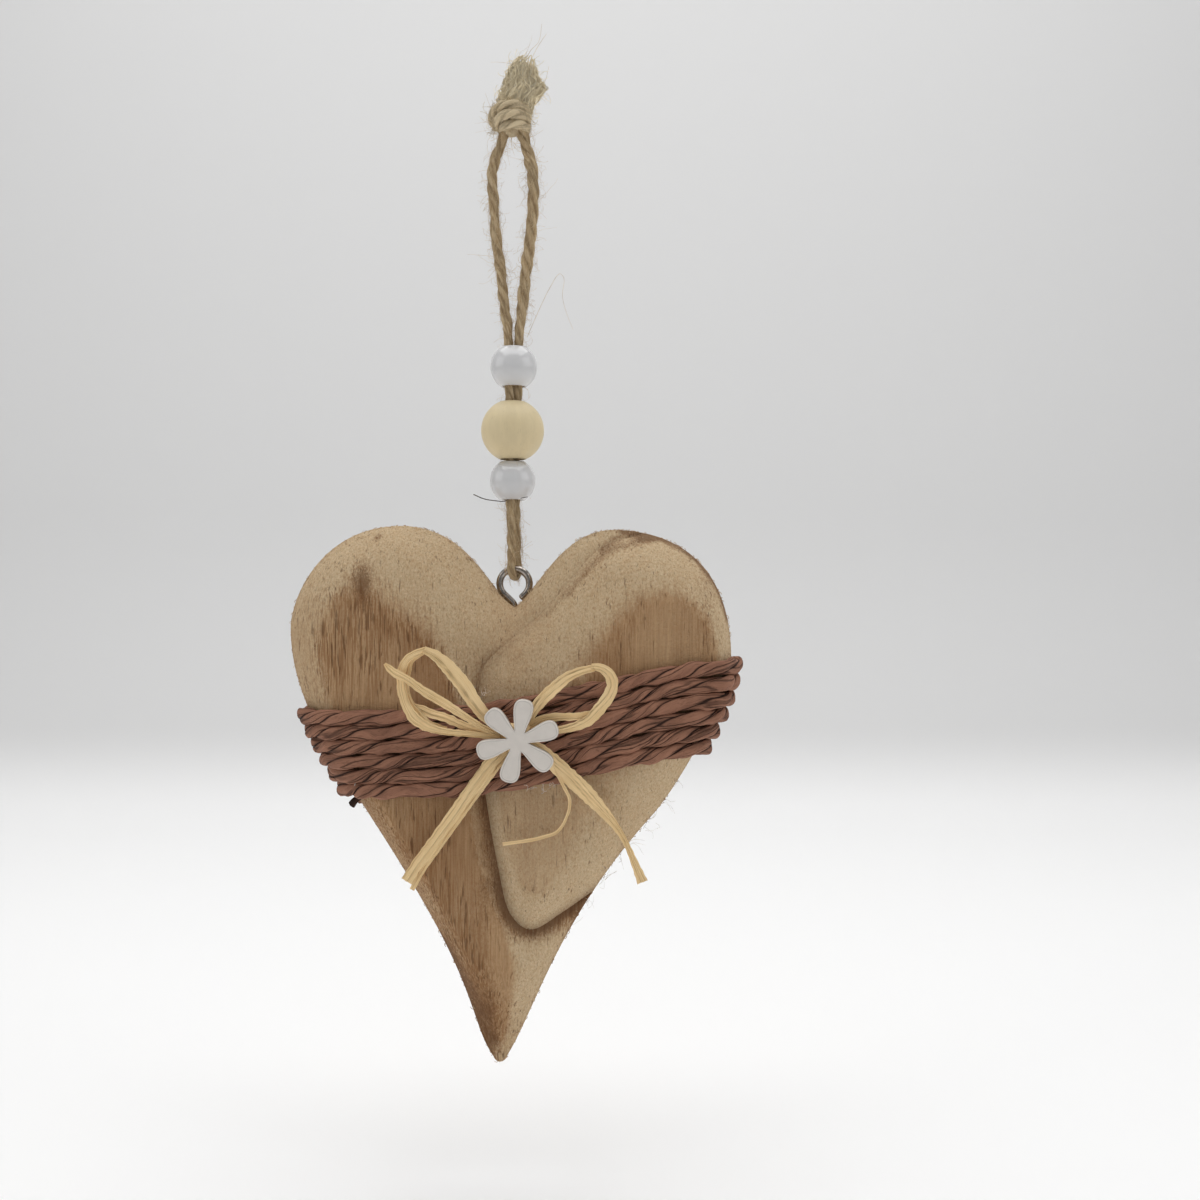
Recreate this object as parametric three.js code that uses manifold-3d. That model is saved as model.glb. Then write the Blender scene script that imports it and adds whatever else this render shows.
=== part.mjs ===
// Carved wooden heart on a jute twine loop, with three beads, a wound paper cord, a raffia bow and a
// flower.
// Millimetres, +Z up, the carved front faces -Y. The origin is the underside of the knot that closes the
// loop, the place where the loop bears on what it hangs from.
import * as THREE from 'three';
import { mergeVertices } from 'three/addons/utils/BufferGeometryUtils.js';
import Module from 'manifold-3d';

const wasm = await Module();
wasm.setup();

// Clear space left between pieces that touch.
const GAP = 0.3;

// Heart outline, in x and z. Each row is one cubic curve: two handles and the end point.
const LAP_TOP = [33.4, -101.7];
const LAP_FOOT = [20.6, -192.5];
const NOTCH = [0.6, -120.6];
// From the top end of the lap, over the notch, the left lobe and the tip, to the foot of the lap.
const LEFT_RIM = [
  [[30.7, -101.1], [28.1, -100.9], [25.7, -100.9]],
  [[12.5, -100.9], [6.5, -116.5], NOTCH],
  [[-7.0, -116.3], [-11.0, -99.9], [-28.2, -99.9]],
  [[-48.4, -99.9], [-56.2, -118.2], [-56.2, -125.8]],
  [[-56.2, -148.8], [-38.4, -166.9], [-20.9, -198.2]],
  [[-8.9, -219.8], [-9.4, -228.1], [-4.7, -234.5]],
  [[-4.2, -236.3], [-1.9, -236.3], [-1.4, -234.5]],
  [[4.3, -225.4], [8.4, -210.8], LAP_FOOT],
];
// From the top end of the lap, round the right lobe, to the foot of the lap.
const RIGHT_RIM = [
  [[44.1, -103.9], [55.6, -111.6], [55.6, -133.7]],
  [[55.6, -142.5], [41.7, -166.5], [35.8, -173.0]],
  [[29.6, -179.9], [24.6, -186.4], LAP_FOOT],
];
// Crease where the right strand laps over the left one.
const CREASE = [
  LAP_TOP, [22.3, -105.7], [14.8, -113.7], [8.5, -121.2], [-0.3, -128.8], [-6.6, -135.1], [-8.0, -141.3],
  [-7.8, -155.0], [-6.6, -165.9], [-3.3, -185.0], [0.0, -197.5], [5.0, -201.3], [13.3, -197.2], LAP_FOOT,
];
// High, nearly flat ground of each strand.
const LEFT_CROWN = [
  [-39.6, -118.7], [-32.2, -123.6], [-22.2, -131.1], [-17.3, -138.5], [-13.6, -148.4], [-11.8, -165.7],
  [-9.9, -180.6], [-6.1, -192.9], [-2.4, -201.6], [-1.0, -210.3], [-1.7, -220.1], [-3.0, -229.0],
  [-6.3, -217.7], [-11.1, -205.3], [-17.3, -192.9], [-24.7, -180.6], [-30.9, -170.7], [-39.6, -155.8],
  [-42.5, -141.0], [-44.0, -128.6],
];
const RIGHT_CROWN = [
  [19.8, -141.0], [24.8, -131.1], [32.2, -122.4], [37.2, -120.0], [42.1, -120.0], [47.0, -123.6],
  [49.5, -128.6], [50.8, -141.0], [34.7, -152.1], [19.3, -162.8], [15.2, -171.7], [12.5, -182.3],
  [6.5, -190.5], [4.0, -189.2], [0.5, -180.6], [-1.7, -168.2], [-1.0, -157.0], [7.4, -147.2],
];
// Stations that pair a place on the crease, in crease points, with places on the left and right rims, in
// rim curves.
const STATIONS = [
  [0, 0, 0], [1, 1, 0.2], [2.2, 1.35, 0.38], [3.2, 1.7, 0.55], [4, 2, 0.7], [4.5, 2.4, 0.82],
  [4.9, 2.8, 0.92], [5.2, 3.2, 1], [5.6, 3.6, 1.08], [6, 4, 1.2], [7, 4.25, 1.5], [8, 4.5, 1.75],
  [9, 4.85, 2.1], [9.6, 5.35, 2.3], [10.2, 6, 2.45], [10.6, 6.5, 2.55], [10.9, 7, 2.62],
  [11.8, 7.5, 2.78], [13, 8, 3],
];
// Heights over the middle plane of the board.
const EDGE_HEIGHT = 3.5;
const CREASE_HEIGHT = 7.4;
const LEFT_HEIGHT = 11.0;
const RIGHT_HEIGHT = 12.0;
const BACK_HEIGHT = 9.0;
const CREASE_RUN_OUT = 12;
const BACK_SLOPE = 26;
const TIP_Z = -240;
const TIP_RISE = 34;
// Share of a quarter round in the carved slopes; the rest is a straight chamfer.
const ROUNDNESS = 0.55;
const STEPS_ALONG = 54;
const LEFT_STEPS = 9;
const RIGHT_STEPS = 7;
const BACK_RINGS = [1, 0.94, 0.78, 0.46];
const BACK_CENTRE = [-1, -150];
const CREASE_SAMPLES = 130;
const LEFT_RIM_SAMPLES = 14;
const RIGHT_RIM_SAMPLES = 18;
const CROWN_SAMPLES = 95;

// Screw eye, bent from wire, with its shank in a hole down from the notch.
const WIRE = 1.8;
const EYE_CENTRE = [0.4, -114.5];
const EYE_RADIUS = 3.8;
const EYE_MOUTH = 52;
const EYE_STOPS = 12;
const EYE_FOOT_DROP = 1.3;
const EYE_FOOT_SWAY = 0.3;
const EYE_END_SHARE = 0.5;
const WIRE_SIDES = 8;
const WIRE_STEPS = 32;
const SHANK_TOP_DROP = 1.4;
const SHANK_END = -134;

// Wound paper cord: six rows in front, that climb to the right, and the returns behind.
const CORD_WIDTH = 3.1;
const CORD_THICK = 2.3;
const ROWS = 6;
const LEFT_ROW_TOP = -147.9;
const LEFT_ROW_STEP = -3.6;
const RIGHT_ROW_TOP = -135.2;
const RIGHT_ROW_STEP = -4.1;
const CLIMB_BEND = 1.6;
const CORD_SLACK = 0.15;
const CORD_SIDES = 6;
const BEARING_SAMPLES = 36;
const BEARING_FAN = 8;
const HALF_TURN_STEPS = 13;
const CORNER_WEIGHT = 15;
const START_SHARE = 0.66;
const END_SHARE = 0.95;

// Beads: radius of the ball, and the height of its centre. The bore takes both legs of the twine.
const BORE_RADIUS = 2.85;
const BORE_CHAMFER = 0.3;
const BEAD_ARC_STEPS = 6;
const BEAD_SIDES = 16;
const BEADS = [
  { name: 'bead_top_white', radius: 6.0, x: 0.2, z: -59.0, colour: 0xe9ebef, roughness: 0.25 },
  { name: 'bead_middle_wood', radius: 8.05, x: -0.1, z: -75.3, colour: 0xe3cda0, roughness: 0.6 },
  { name: 'bead_bottom_white', radius: 5.85, x: -0.1, z: -88.2, colour: 0xe9ebef, roughness: 0.25 },
];

// Twine: two legs, side by side at the top bead, one nearly before the other at the eye. The beads squeeze
// the legs, which are fuller above them.
const TWINE = 2.4;
const LEFT_FULL = 2.7;
const RIGHT_FULL = 3.0;
const FULL_ABOVE = -43;
const SQUEEZED_BELOW = -52;
const LEG_SPACING = 2.7;
const TWINE_TOP = -0.8;
const LEFT_LEG = [
  [-2.7, TWINE_TOP], [-5.3, -8.6], [-4.9, -17.4], [-4.5, -24.1], [-3.2, -33.6], [-2.3, -42.5],
];
const RIGHT_LEG = [[2.9, TWINE_TOP], [4.9, -8.6], [5.1, -16.9], [4.6, -24.1], [3.4, -33.6], [2.5, -42.5]];
const LEG_TURN = [[-51.5, 0], [-59, 8], [-66, 42], [-75, 66], [-84, 72], [-93, 68], [-101, 68]];
const BEND_RADIUS = 2.7;
const BEND_TURN = 22;
const BEND_STOPS = [-205, -180, -150, -120, -90, -60, -30, 0, 25];
const TWINE_STEPS = 76;
const TWINE_SIDES = 8;

// Knot of the loop and the frayed tuft above it.
const KNOT_CENTRE = [-0.8, 0, 3.9];
const KNOT_RADII = [4.9, 4.1, 4.4];
const KNOT_EAR = [-4.5, -0.4, 4.9, 2.2];
const KNOT_WRAPS = [
  { z: 2.5, tilt: -7, radii: [3.9, 3.1], wire: 1.7 },
  { z: 6.1, tilt: 8, radii: [3.6, 2.9], wire: 1.6 },
];
const KNOT_BALL = [10, 6];
const WRAP_STEPS = [6, 12];
const TUFT_SIDES = 8;
const TUFT = [
  [0.8, 6.5, 3.9, 2.6], [1.6, 9.5, 4.4, 2.7], [2.7, 12.4, 5.1, 2.7], [2.6, 15.5, 4.2, 2.4],
  [2.6, 18.3, 3.2, 1.9], [3.6, 20.3, 1.9, 1.5],
];

// Raffia: each strip is a run of places, each with the width of the strip there.
const RAFFIA_THICK = 0.5;
const BOW_KNOT = { centre: [2.0, -17.6, -152.0], radii: [3.6, 1.6, 3.2] };
const RAFFIA = [
  [
    [-1.5, -18.2, -150.6, 2.4], [-4.1, -18.4, -148.1, 2.6], [-5.9, -18.7, -146.5, 3.2],
    [-8.5, -19.3, -142.9, 3.7], [-10.5, -19.8, -139.5, 3.8], [-14.5, -20.4, -134.6, 3.5],
    [-17.3, -20.6, -132, 2.6], [-20.1, -20.6, -130.7, 1.7],
  ],
  [
    [-19.4, -20.4, -130.5, 1.4], [-22.6, -20.2, -131.7, 1.8], [-24.6, -19.9, -133.2, 2],
    [-25.8, -19.6, -135.6, 2], [-25.9, -19.2, -140.1, 2.2], [-24.8, -18.8, -144.1, 2.4],
    [-22.8, -18.6, -147.5, 2.9], [-20.1, -18.5, -149.3, 2.5], [-16.7, -18.4, -150.4, 1.8],
    [-13.3, -18.3, -150.9, 1.6], [-9.3, -18.2, -151.2, 1.5], [-4.1, -18, -151.8, 1.5],
    [0.5, -17.9, -152, 1.5],
  ],
  [
    [-20.5, -19.5, -131.5, 1], [-23.6, -19.1, -133.3, 1.3], [-24.3, -18.8, -136.8, 1.4],
    [-24.9, -18.4, -140.9, 1.6], [-23.8, -18.1, -144, 1.8], [-21.8, -17.9, -146.4, 2],
    [-19.3, -17.8, -148.9, 1.7], [-15, -17.8, -150.2, 1.3],
  ],
  [
    [-23.2, -17.7, -144.5, 1.5], [-20.9, -17.7, -145.2, 2], [-18.9, -17.6, -146.4, 2.2],
    [-15.3, -17.5, -147.3, 2.2],
    [-11.3, -17.5, -149.1, 2], [-6.5, -17.5, -150.7, 1.8], [-0.5, -17.5, -151.6, 1.6],
  ],
  [
    [-29.5, -21.3, -134, 0.7], [-28.4, -21.3, -135.2, 1.8], [-27, -21.2, -136.4, 2.1],
    [-24.2, -21, -137.7, 1.8], [-20.1, -20.8, -140.7, 2.3], [-14.9, -20.1, -143.9, 2.2],
    [-9.7, -19.3, -147.3, 1.8], [-6.1, -18.7, -149.7, 1.5], [-1.7, -18.2, -151.7, 1.4],
  ],
  [
    [3.2, -18.1, -150.2, 2], [4.6, -18.3, -148, 2.3], [6.4, -18.7, -145.1, 2.6], [8.4, -19, -142.7, 3],
    [11.2, -19.6, -140.1, 3.2], [14.4, -20, -137.2, 2.5], [17.6, -20.3, -135.8, 2],
    [20.9, -20.5, -135.1, 1.7],
  ],
  [
    [20.2, -20.6, -134.7, 1.4], [22.8, -20.5, -135, 2.2], [24.9, -20.2, -136.8, 2.8],
    [25.5, -19.8, -139.3, 2.8], [24.4, -19.4, -142.1, 3], [22, -19, -145.3, 3],
    [19.6, -18.7, -148.1, 2.6], [16.4, -18.5, -149.4, 2.2], [12.8, -18.3, -150.2, 1.9],
    [8.8, -18.2, -150.5, 1.8], [4, -18, -151.3, 1.6],
  ],
  [
    [20.6, -17.8, -146.1, 1.2], [16, -17.6, -147.2, 1.9], [12, -17.5, -147.1, 2],
    [8.4, -17.5, -147.5, 2], [4, -17.6, -149.9, 1.8],
  ],
  [
    [0.8, -17.4, -153, 2.6], [-4.3, -17.1, -158.4, 3.2], [-8.9, -16.6, -164.6, 3],
    [-13.4, -15.5, -170.9, 2.9], [-18.2, -14.6, -177.6, 2.8], [-22.4, -14.2, -183.3, 2.8],
    [-25.3, -14, -187.9, 2.9],
  ],
  [
    [2, -17.2, -154.5, 1], [-2.8, -16.9, -159.6, 1.3], [-7.4, -16.4, -165.8, 1.3],
    [-11.9, -15.3, -172.1, 1.2], [-16.7, -14.4, -178.8, 1.2], [-20.9, -14, -184.5, 1.3],
    [-24, -13.8, -190, 1.3],
  ],
  [
    [3.3, -17.4, -152.4, 3.2], [9, -17.2, -156.6, 4], [14.2, -16.8, -161.2, 4.1],
    [18.9, -15.9, -165.8, 3.9], [22.6, -14.8, -169.9, 3.2], [25.4, -14, -173.4, 2.1],
    [27.7, -13.6, -176.7, 1.5], [29.5, -13.4, -180.2, 1.4], [31, -13.3, -184, 1.9],
    [32.8, -13.2, -188.3, 2.7],
  ],
  [
    [10.4, -17, -158.2, 0.7], [13.3, -16.8, -164, 0.8], [15, -15.8, -167.2, 0.8],
    [14.8, -15.2, -170.2, 0.7], [13.3, -14.8, -173.9, 0.7], [11.5, -14.8, -176, 0.8],
    [6.2, -14.8, -177.5, 0.9], [-1.6, -14.8, -178.6, 0.9],
  ],
];

// Flower: petals round a small disc. Each petal starts at the two notches beside it, swells past its neck and
// ends round; neck and belly are handles of its outline.
const FLOWER_CENTRE = [2.5, -152.7];
const FLOWER_BACK = -19.6;
const FLOWER_THICK = 2.2;
const FLOWER_ROUND = 0.4;
const FLOWER_CURVE_STEPS = 4;
const PETAL_ANGLES = [-104, -39, 19, 80, 135, 195];
const PETAL_REACH = 10.2;
const PETAL_FOOT = 2.6;
const PETAL_NECK = [5.2, 1.7];
const PETAL_BELLY = 4.1;

// Smallest length that still counts, against division by nothing.
const TINY = 1e-9;
// Vertices closer than this are one.
const WELD = 1e-4;

function lerp(a, b, t) {
  return a + (b - a) * t;
}

function clamp01(t) {
  return Math.min(1, Math.max(0, t));
}

function smooth(t) {
  const k = clamp01(t);
  return k * k * (3 - 2 * k);
}

// Curve segments of a rim, each a cubic that starts where the one before it ends.
function rimCurves(start, rows) {
  let from = start;
  return rows.map(([a, b, end]) => {
    const curve = new THREE.CubicBezierCurve(...[from, a, b, end].map((p) => new THREE.Vector2(...p)));
    from = end;
    return curve;
  });
}

function pointOnRim(curves, u) {
  const index = Math.min(Math.floor(u), curves.length - 1);
  return curves[index].getPoint(u - index);
}

function splineThrough(points, closed) {
  const bends = points.map(([x, z]) => new THREE.Vector3(x, z, 0));
  return new THREE.CatmullRomCurve3(bends, closed, 'centripetal');
}

const leftRim = rimCurves(LAP_TOP, LEFT_RIM);
const rightRim = rimCurves(LAP_TOP, RIGHT_RIM);
const creaseCurve = splineThrough(CREASE, false);

function sampleSpline(curve, count) {
  return Array.from({ length: count + 1 }, (_, i) => {
    const p = curve.getPoint(i / count);
    return [p.x, p.y];
  });
}

function sampleRim(curves, perCurve) {
  const count = curves.length * perCurve;
  return Array.from({ length: count + 1 }, (_, i) => {
    const p = pointOnRim(curves, i / perCurve);
    return [p.x, p.y];
  });
}

const creaseLine = sampleSpline(creaseCurve, CREASE_SAMPLES);
const leftRimLine = sampleRim(leftRim, LEFT_RIM_SAMPLES);
const rightRimLine = sampleRim(rightRim, RIGHT_RIM_SAMPLES);
const rimLoop = [...leftRimLine, ...rightRimLine.slice(1, -1).reverse()];
const rightLoop = [...rightRimLine, ...creaseLine.slice(1, -1).reverse()];
const leftCrown = sampleSpline(splineThrough(LEFT_CROWN, true), CROWN_SAMPLES).slice(0, -1);
const rightCrown = sampleSpline(splineThrough(RIGHT_CROWN, true), CROWN_SAMPLES).slice(0, -1);

function distanceToLine(x, z, line, closed) {
  let best = Infinity;
  const last = closed ? line.length : line.length - 1;
  for (let i = 0; i < last; i += 1) {
    const [ax, az] = line[i];
    const [bx, bz] = line[(i + 1) % line.length];
    const dx = bx - ax;
    const dz = bz - az;
    const t = clamp01(((x - ax) * dx + (z - az) * dz) / (dx * dx + dz * dz + TINY * TINY));
    best = Math.min(best, Math.hypot(x - ax - t * dx, z - az - t * dz));
  }
  return best;
}

function isInside(x, z, loop) {
  let inside = false;
  loop.forEach(([ax, az], i) => {
    const [bx, bz] = loop[(i + 1) % loop.length];
    if ((az > z) !== (bz > z) && x < ax + ((z - az) / (bz - az)) * (bx - ax)) {
      inside = !inside;
    }
  });
  return inside;
}

// Rise of a carved slope, from 0 at its foot to 1 at the crown.
function slope(t) {
  const k = clamp01(t);
  return lerp(k, Math.sqrt(1 - (1 - k) * (1 - k)), ROUNDNESS);
}

function tipTaper(z) {
  return smooth((z - TIP_Z) / TIP_RISE);
}

// Carved height of the front at a place on one strand.
function frontHeight(x, z, onRight) {
  const edge = distanceToLine(x, z, rimLoop, true);
  const crease = distanceToLine(x, z, creaseLine, false);
  const crown = onRight ? rightCrown : leftCrown;
  const toCrown = isInside(x, z, crown) ? 0 : distanceToLine(x, z, crown, true);
  const foot = footHeight(edge);
  const near = (edge * crease) / Math.cbrt(edge ** 3 + crease ** 3 + TINY);
  const height = lerp(EDGE_HEIGHT, onRight ? RIGHT_HEIGHT : LEFT_HEIGHT, tipTaper(z));
  return foot + Math.max(0, height - foot) * slope(near / (near + toCrown + TINY));
}

// Height of the ground that the carved slopes start from.
function footHeight(edge) {
  return EDGE_HEIGHT + (CREASE_HEIGHT - EDGE_HEIGHT) * smooth(edge / CREASE_RUN_OUT);
}

function backHeight(x, z) {
  const edge = distanceToLine(x, z, rimLoop, true);
  return lerp(EDGE_HEIGHT, BACK_HEIGHT, slope(edge / BACK_SLOPE) * tipTaper(z));
}

function heightAt(x, z) {
  return frontHeight(x, z, isInside(x, z, rightLoop));
}

function stationAt(share) {
  const place = share * (STATIONS.length - 1);
  const index = Math.min(Math.floor(place), STATIONS.length - 2);
  return [0, 1, 2].map((k) => lerp(STATIONS[index][k], STATIONS[index + 1][k], place - index));
}

// One closed triangle mesh, gathered vertex by vertex.
class Skin {
  constructor() {
    this.positions = [];
    this.faces = [];
  }

  vertex(x, y, z) {
    this.positions.push(x, y, z);
    return this.positions.length / 3 - 1;
  }

  quad(a, b, c, d) {
    this.faces.push(a, b, c, a, c, d);
  }

  geometry() {
    const shape = new THREE.BufferGeometry();
    shape.setAttribute('position', new THREE.Float32BufferAttribute(this.positions, 3));
    shape.setIndex(this.faces);
    const merged = mergeVertices(shape, WELD);
    const corners = Array.from(merged.index.array);
    const kept = [];
    for (let i = 0; i < corners.length; i += 3) {
      const [a, b, c] = corners.slice(i, i + 3);
      if (a !== b && b !== c && c !== a) {
        kept.push(a, b, c);
      }
    }
    merged.setIndex(kept);
    return merged;
  }
}

// Ruled patch of the carved front, from the crease to the rim of one strand.
function carvedPatch(skin, rim, across, onRight) {
  const rows = [];
  for (let i = 0; i <= STEPS_ALONG; i += 1) {
    const station = stationAt(i / STEPS_ALONG);
    const inner = creaseCurve.getPoint(station[0] / (CREASE.length - 1));
    const outer = pointOnRim(rim, station[onRight ? 2 : 1]);
    const row = [];
    for (let j = 0; j <= across; j += 1) {
      const share = 0.5 - 0.5 * Math.cos((Math.PI * j) / across);
      const x = lerp(inner.x, outer.x, share);
      const z = lerp(inner.y, outer.y, share);
      const edge = j === across ? 0 : distanceToLine(x, z, rimLoop, true);
      const onLine = j === 0 || j === across;
      const height = onLine ? footHeight(edge) : frontHeight(x, z, onRight);
      row.push(skin.vertex(x, -height, z));
    }
    rows.push(row);
  }
  for (let i = 0; i < STEPS_ALONG; i += 1) {
    for (let j = 0; j < across; j += 1) {
      const corners = [rows[i][j], rows[i + 1][j], rows[i + 1][j + 1], rows[i][j + 1]];
      skin.quad(...(onRight ? corners : corners.reverse()));
    }
  }
}

function rimStations(rim, column) {
  return Array.from({ length: STEPS_ALONG + 1 }, (_, i) => {
    const p = pointOnRim(rim, stationAt(i / STEPS_ALONG)[column]);
    return [p.x, p.y];
  });
}

function heartGeometry() {
  const skin = new Skin();
  carvedPatch(skin, leftRim, LEFT_STEPS, false);
  carvedPatch(skin, rightRim, RIGHT_STEPS, true);
  const rim = [...rimStations(leftRim, 1), ...rimStations(rightRim, 2).slice(1, -1).reverse()];
  const rings = [rim.map(([x, z]) => skin.vertex(x, -EDGE_HEIGHT, z))];
  BACK_RINGS.forEach((share) => {
    rings.push(rim.map(([px, pz]) => {
      const x = lerp(BACK_CENTRE[0], px, share);
      const z = lerp(BACK_CENTRE[1], pz, share);
      const height = share === 1 ? EDGE_HEIGHT : backHeight(x, z);
      return skin.vertex(x, height, z);
    }));
  });
  for (let ring = 0; ring + 1 < rings.length; ring += 1) {
    rim.forEach((_, i) => {
      const next = (i + 1) % rim.length;
      skin.quad(rings[ring][i], rings[ring + 1][i], rings[ring + 1][next], rings[ring][next]);
    });
  }
  const middle = skin.vertex(BACK_CENTRE[0], backHeight(...BACK_CENTRE), BACK_CENTRE[1]);
  const inner = rings[rings.length - 1];
  inner.forEach((v, i) => {
    skin.faces.push(v, middle, inner[(i + 1) % inner.length]);
  });
  return skin.geometry();
}

function solid(geometry) {
  const bare = geometry.clone();
  bare.deleteAttribute('normal');
  bare.deleteAttribute('uv');
  const merged = mergeVertices(bare, WELD);
  const mesh = new wasm.Mesh({
    numProp: 3,
    vertProperties: new Float32Array(merged.attributes.position.array),
    triVerts: new Uint32Array(merged.index.array),
  });
  return new wasm.Manifold(mesh);
}

function geometryOf(body) {
  const mesh = body.getMesh();
  const shape = new THREE.BufferGeometry();
  shape.setAttribute('position', new THREE.BufferAttribute(mesh.vertProperties, 3));
  shape.setIndex(new THREE.BufferAttribute(mesh.triVerts, 1));
  return shape;
}

function joined(geometries) {
  return geometryOf(geometries.map(solid).reduce((body, next) => body.add(next)));
}

// Closed tube over a run of rings that each hold the same number of points.
function tubeOfRings(rings) {
  const skin = new Skin();
  const loops = rings.map((ring) => ring.map((p) => skin.vertex(p.x, p.y, p.z)));
  const sides = loops[0].length;
  for (let i = 0; i + 1 < loops.length; i += 1) {
    for (let k = 0; k < sides; k += 1) {
      const next = (k + 1) % sides;
      skin.quad(loops[i][k], loops[i][next], loops[i + 1][next], loops[i + 1][k]);
    }
  }
  const [start, end] = [loops[0], loops[loops.length - 1]];
  for (let k = 1; k + 1 < sides; k += 1) {
    skin.faces.push(start[0], start[k + 1], start[k]);
    skin.faces.push(end[0], end[k], end[k + 1]);
  }
  return skin.geometry();
}

function ellipseSection(sides, halfWidth, halfHeight) {
  return Array.from({ length: sides }, (_, i) => {
    const angle = (2 * Math.PI * (i + 0.5)) / sides;
    return [halfWidth * Math.cos(angle), halfHeight * Math.sin(angle)];
  });
}

// Flat-lying section carried along a path; out points away from what the strip or cord lies on.
function sweep(path, outs, sectionAt) {
  const rings = path.map((at, i) => {
    const before = path[Math.max(0, i - 1)];
    const after = path[Math.min(path.length - 1, i + 1)];
    const tangent = after.clone().sub(before).normalize();
    const side = outs[i].clone().cross(tangent).normalize();
    const out = tangent.clone().cross(side);
    return sectionAt(i).map(([across, up]) => (
      at.clone().addScaledVector(side, across).addScaledVector(out, up)
    ));
  });
  return tubeOfRings(rings);
}

function roundTube(curve, radius, sides, steps) {
  const corners = ellipseSection(sides, radius, radius).map(([x, y]) => new THREE.Vector2(x, y));
  const options = { steps, bevelEnabled: false, extrudePath: curve };
  return new THREE.ExtrudeGeometry(new THREE.Shape(corners), options);
}

// The wire comes up out of the wood, goes round the ring from its lower left, and ends by the shank.
function eyeCurve() {
  const [cx, cz] = EYE_CENTRE;
  const turn = (180 - EYE_MOUTH) * (Math.PI / 90);
  const first = -(90 + EYE_MOUTH) * (Math.PI / 180);
  const ring = Array.from({ length: EYE_STOPS + 1 }, (_, i) => {
    const angle = first - (turn * i) / EYE_STOPS;
    return new THREE.Vector3(cx + EYE_RADIUS * Math.cos(angle), 0, cz + EYE_RADIUS * Math.sin(angle));
  });
  const start = ring[0];
  const end = ring[EYE_STOPS];
  const foot = cz - EYE_RADIUS - EYE_FOOT_DROP;
  return new THREE.CatmullRomCurve3([
    new THREE.Vector3(cx, 0, SHANK_END),
    new THREE.Vector3(cx, 0, (SHANK_END + foot) / 2),
    new THREE.Vector3(cx, 0, foot - SHANK_TOP_DROP),
    new THREE.Vector3(cx - EYE_FOOT_SWAY, 0, foot),
    new THREE.Vector3((cx - EYE_FOOT_SWAY + start.x) / 2, 0, (foot + start.z) / 2),
    ...ring,
    new THREE.Vector3(lerp(end.x, cx, EYE_END_SHARE), 0, lerp(end.z, foot, EYE_END_SHARE)),
  ], false, 'centripetal');
}

function eyeGeometry() {
  return roundTube(eyeCurve(), WIRE / 2, WIRE_SIDES, WIRE_STEPS);
}

function carvedHeart() {
  const room = roundTube(eyeCurve(), WIRE / 2 + GAP, WIRE_SIDES, WIRE_STEPS);
  return geometryOf(solid(heartGeometry()).subtract(solid(room)));
}

function rimAt(z, side) {
  const hits = [];
  rimLoop.forEach(([ax, az], i) => {
    const [bx, bz] = rimLoop[(i + 1) % rimLoop.length];
    if ((az > z) !== (bz > z)) {
      hits.push(ax + ((z - az) / (bz - az)) * (bx - ax));
    }
  });
  return side < 0 ? Math.min(...hits) : Math.max(...hits);
}

// Upper chain of the hull of points, from left to right.
function upperHull(points) {
  const chain = [];
  [...points].sort((p, q) => p[0] - q[0] || p[1] - q[1]).forEach((p) => {
    while (chain.length > 1) {
      const [a, b] = chain.slice(-2);
      if ((b[0] - a[0]) * (p[1] - a[1]) - (b[1] - a[1]) * (p[0] - a[0]) < 0) {
        break;
      }
      chain.pop();
    }
    chain.push(p);
  });
  return chain;
}

// Places on a broken line, closer together where it turns.
function resample(line, count) {
  const turn = (i) => {
    if (i <= 0 || i >= line.length - 1) {
      return 0;
    }
    const a = Math.atan2(line[i][1] - line[i - 1][1], line[i][0] - line[i - 1][0]);
    const b = Math.atan2(line[i + 1][1] - line[i][1], line[i + 1][0] - line[i][0]);
    return Math.abs(b - a);
  };
  const reach = [0];
  for (let i = 1; i < line.length; i += 1) {
    const length = Math.hypot(line[i][0] - line[i - 1][0], line[i][1] - line[i - 1][1]);
    reach.push(reach[i - 1] + length + (CORNER_WEIGHT * (turn(i - 1) + turn(i))) / 2);
  }
  return Array.from({ length: count + 1 }, (_, k) => {
    const goal = (reach[reach.length - 1] * k) / count;
    const passed = reach.filter((r) => r < goal).length;
    const i = Math.min(Math.max(1, passed), line.length - 1);
    const t = (goal - reach[i - 1]) / (reach[i] - reach[i - 1]);
    return [lerp(line[i - 1][0], line[i][0], t), lerp(line[i - 1][1], line[i][1], t)];
  });
}

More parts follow.
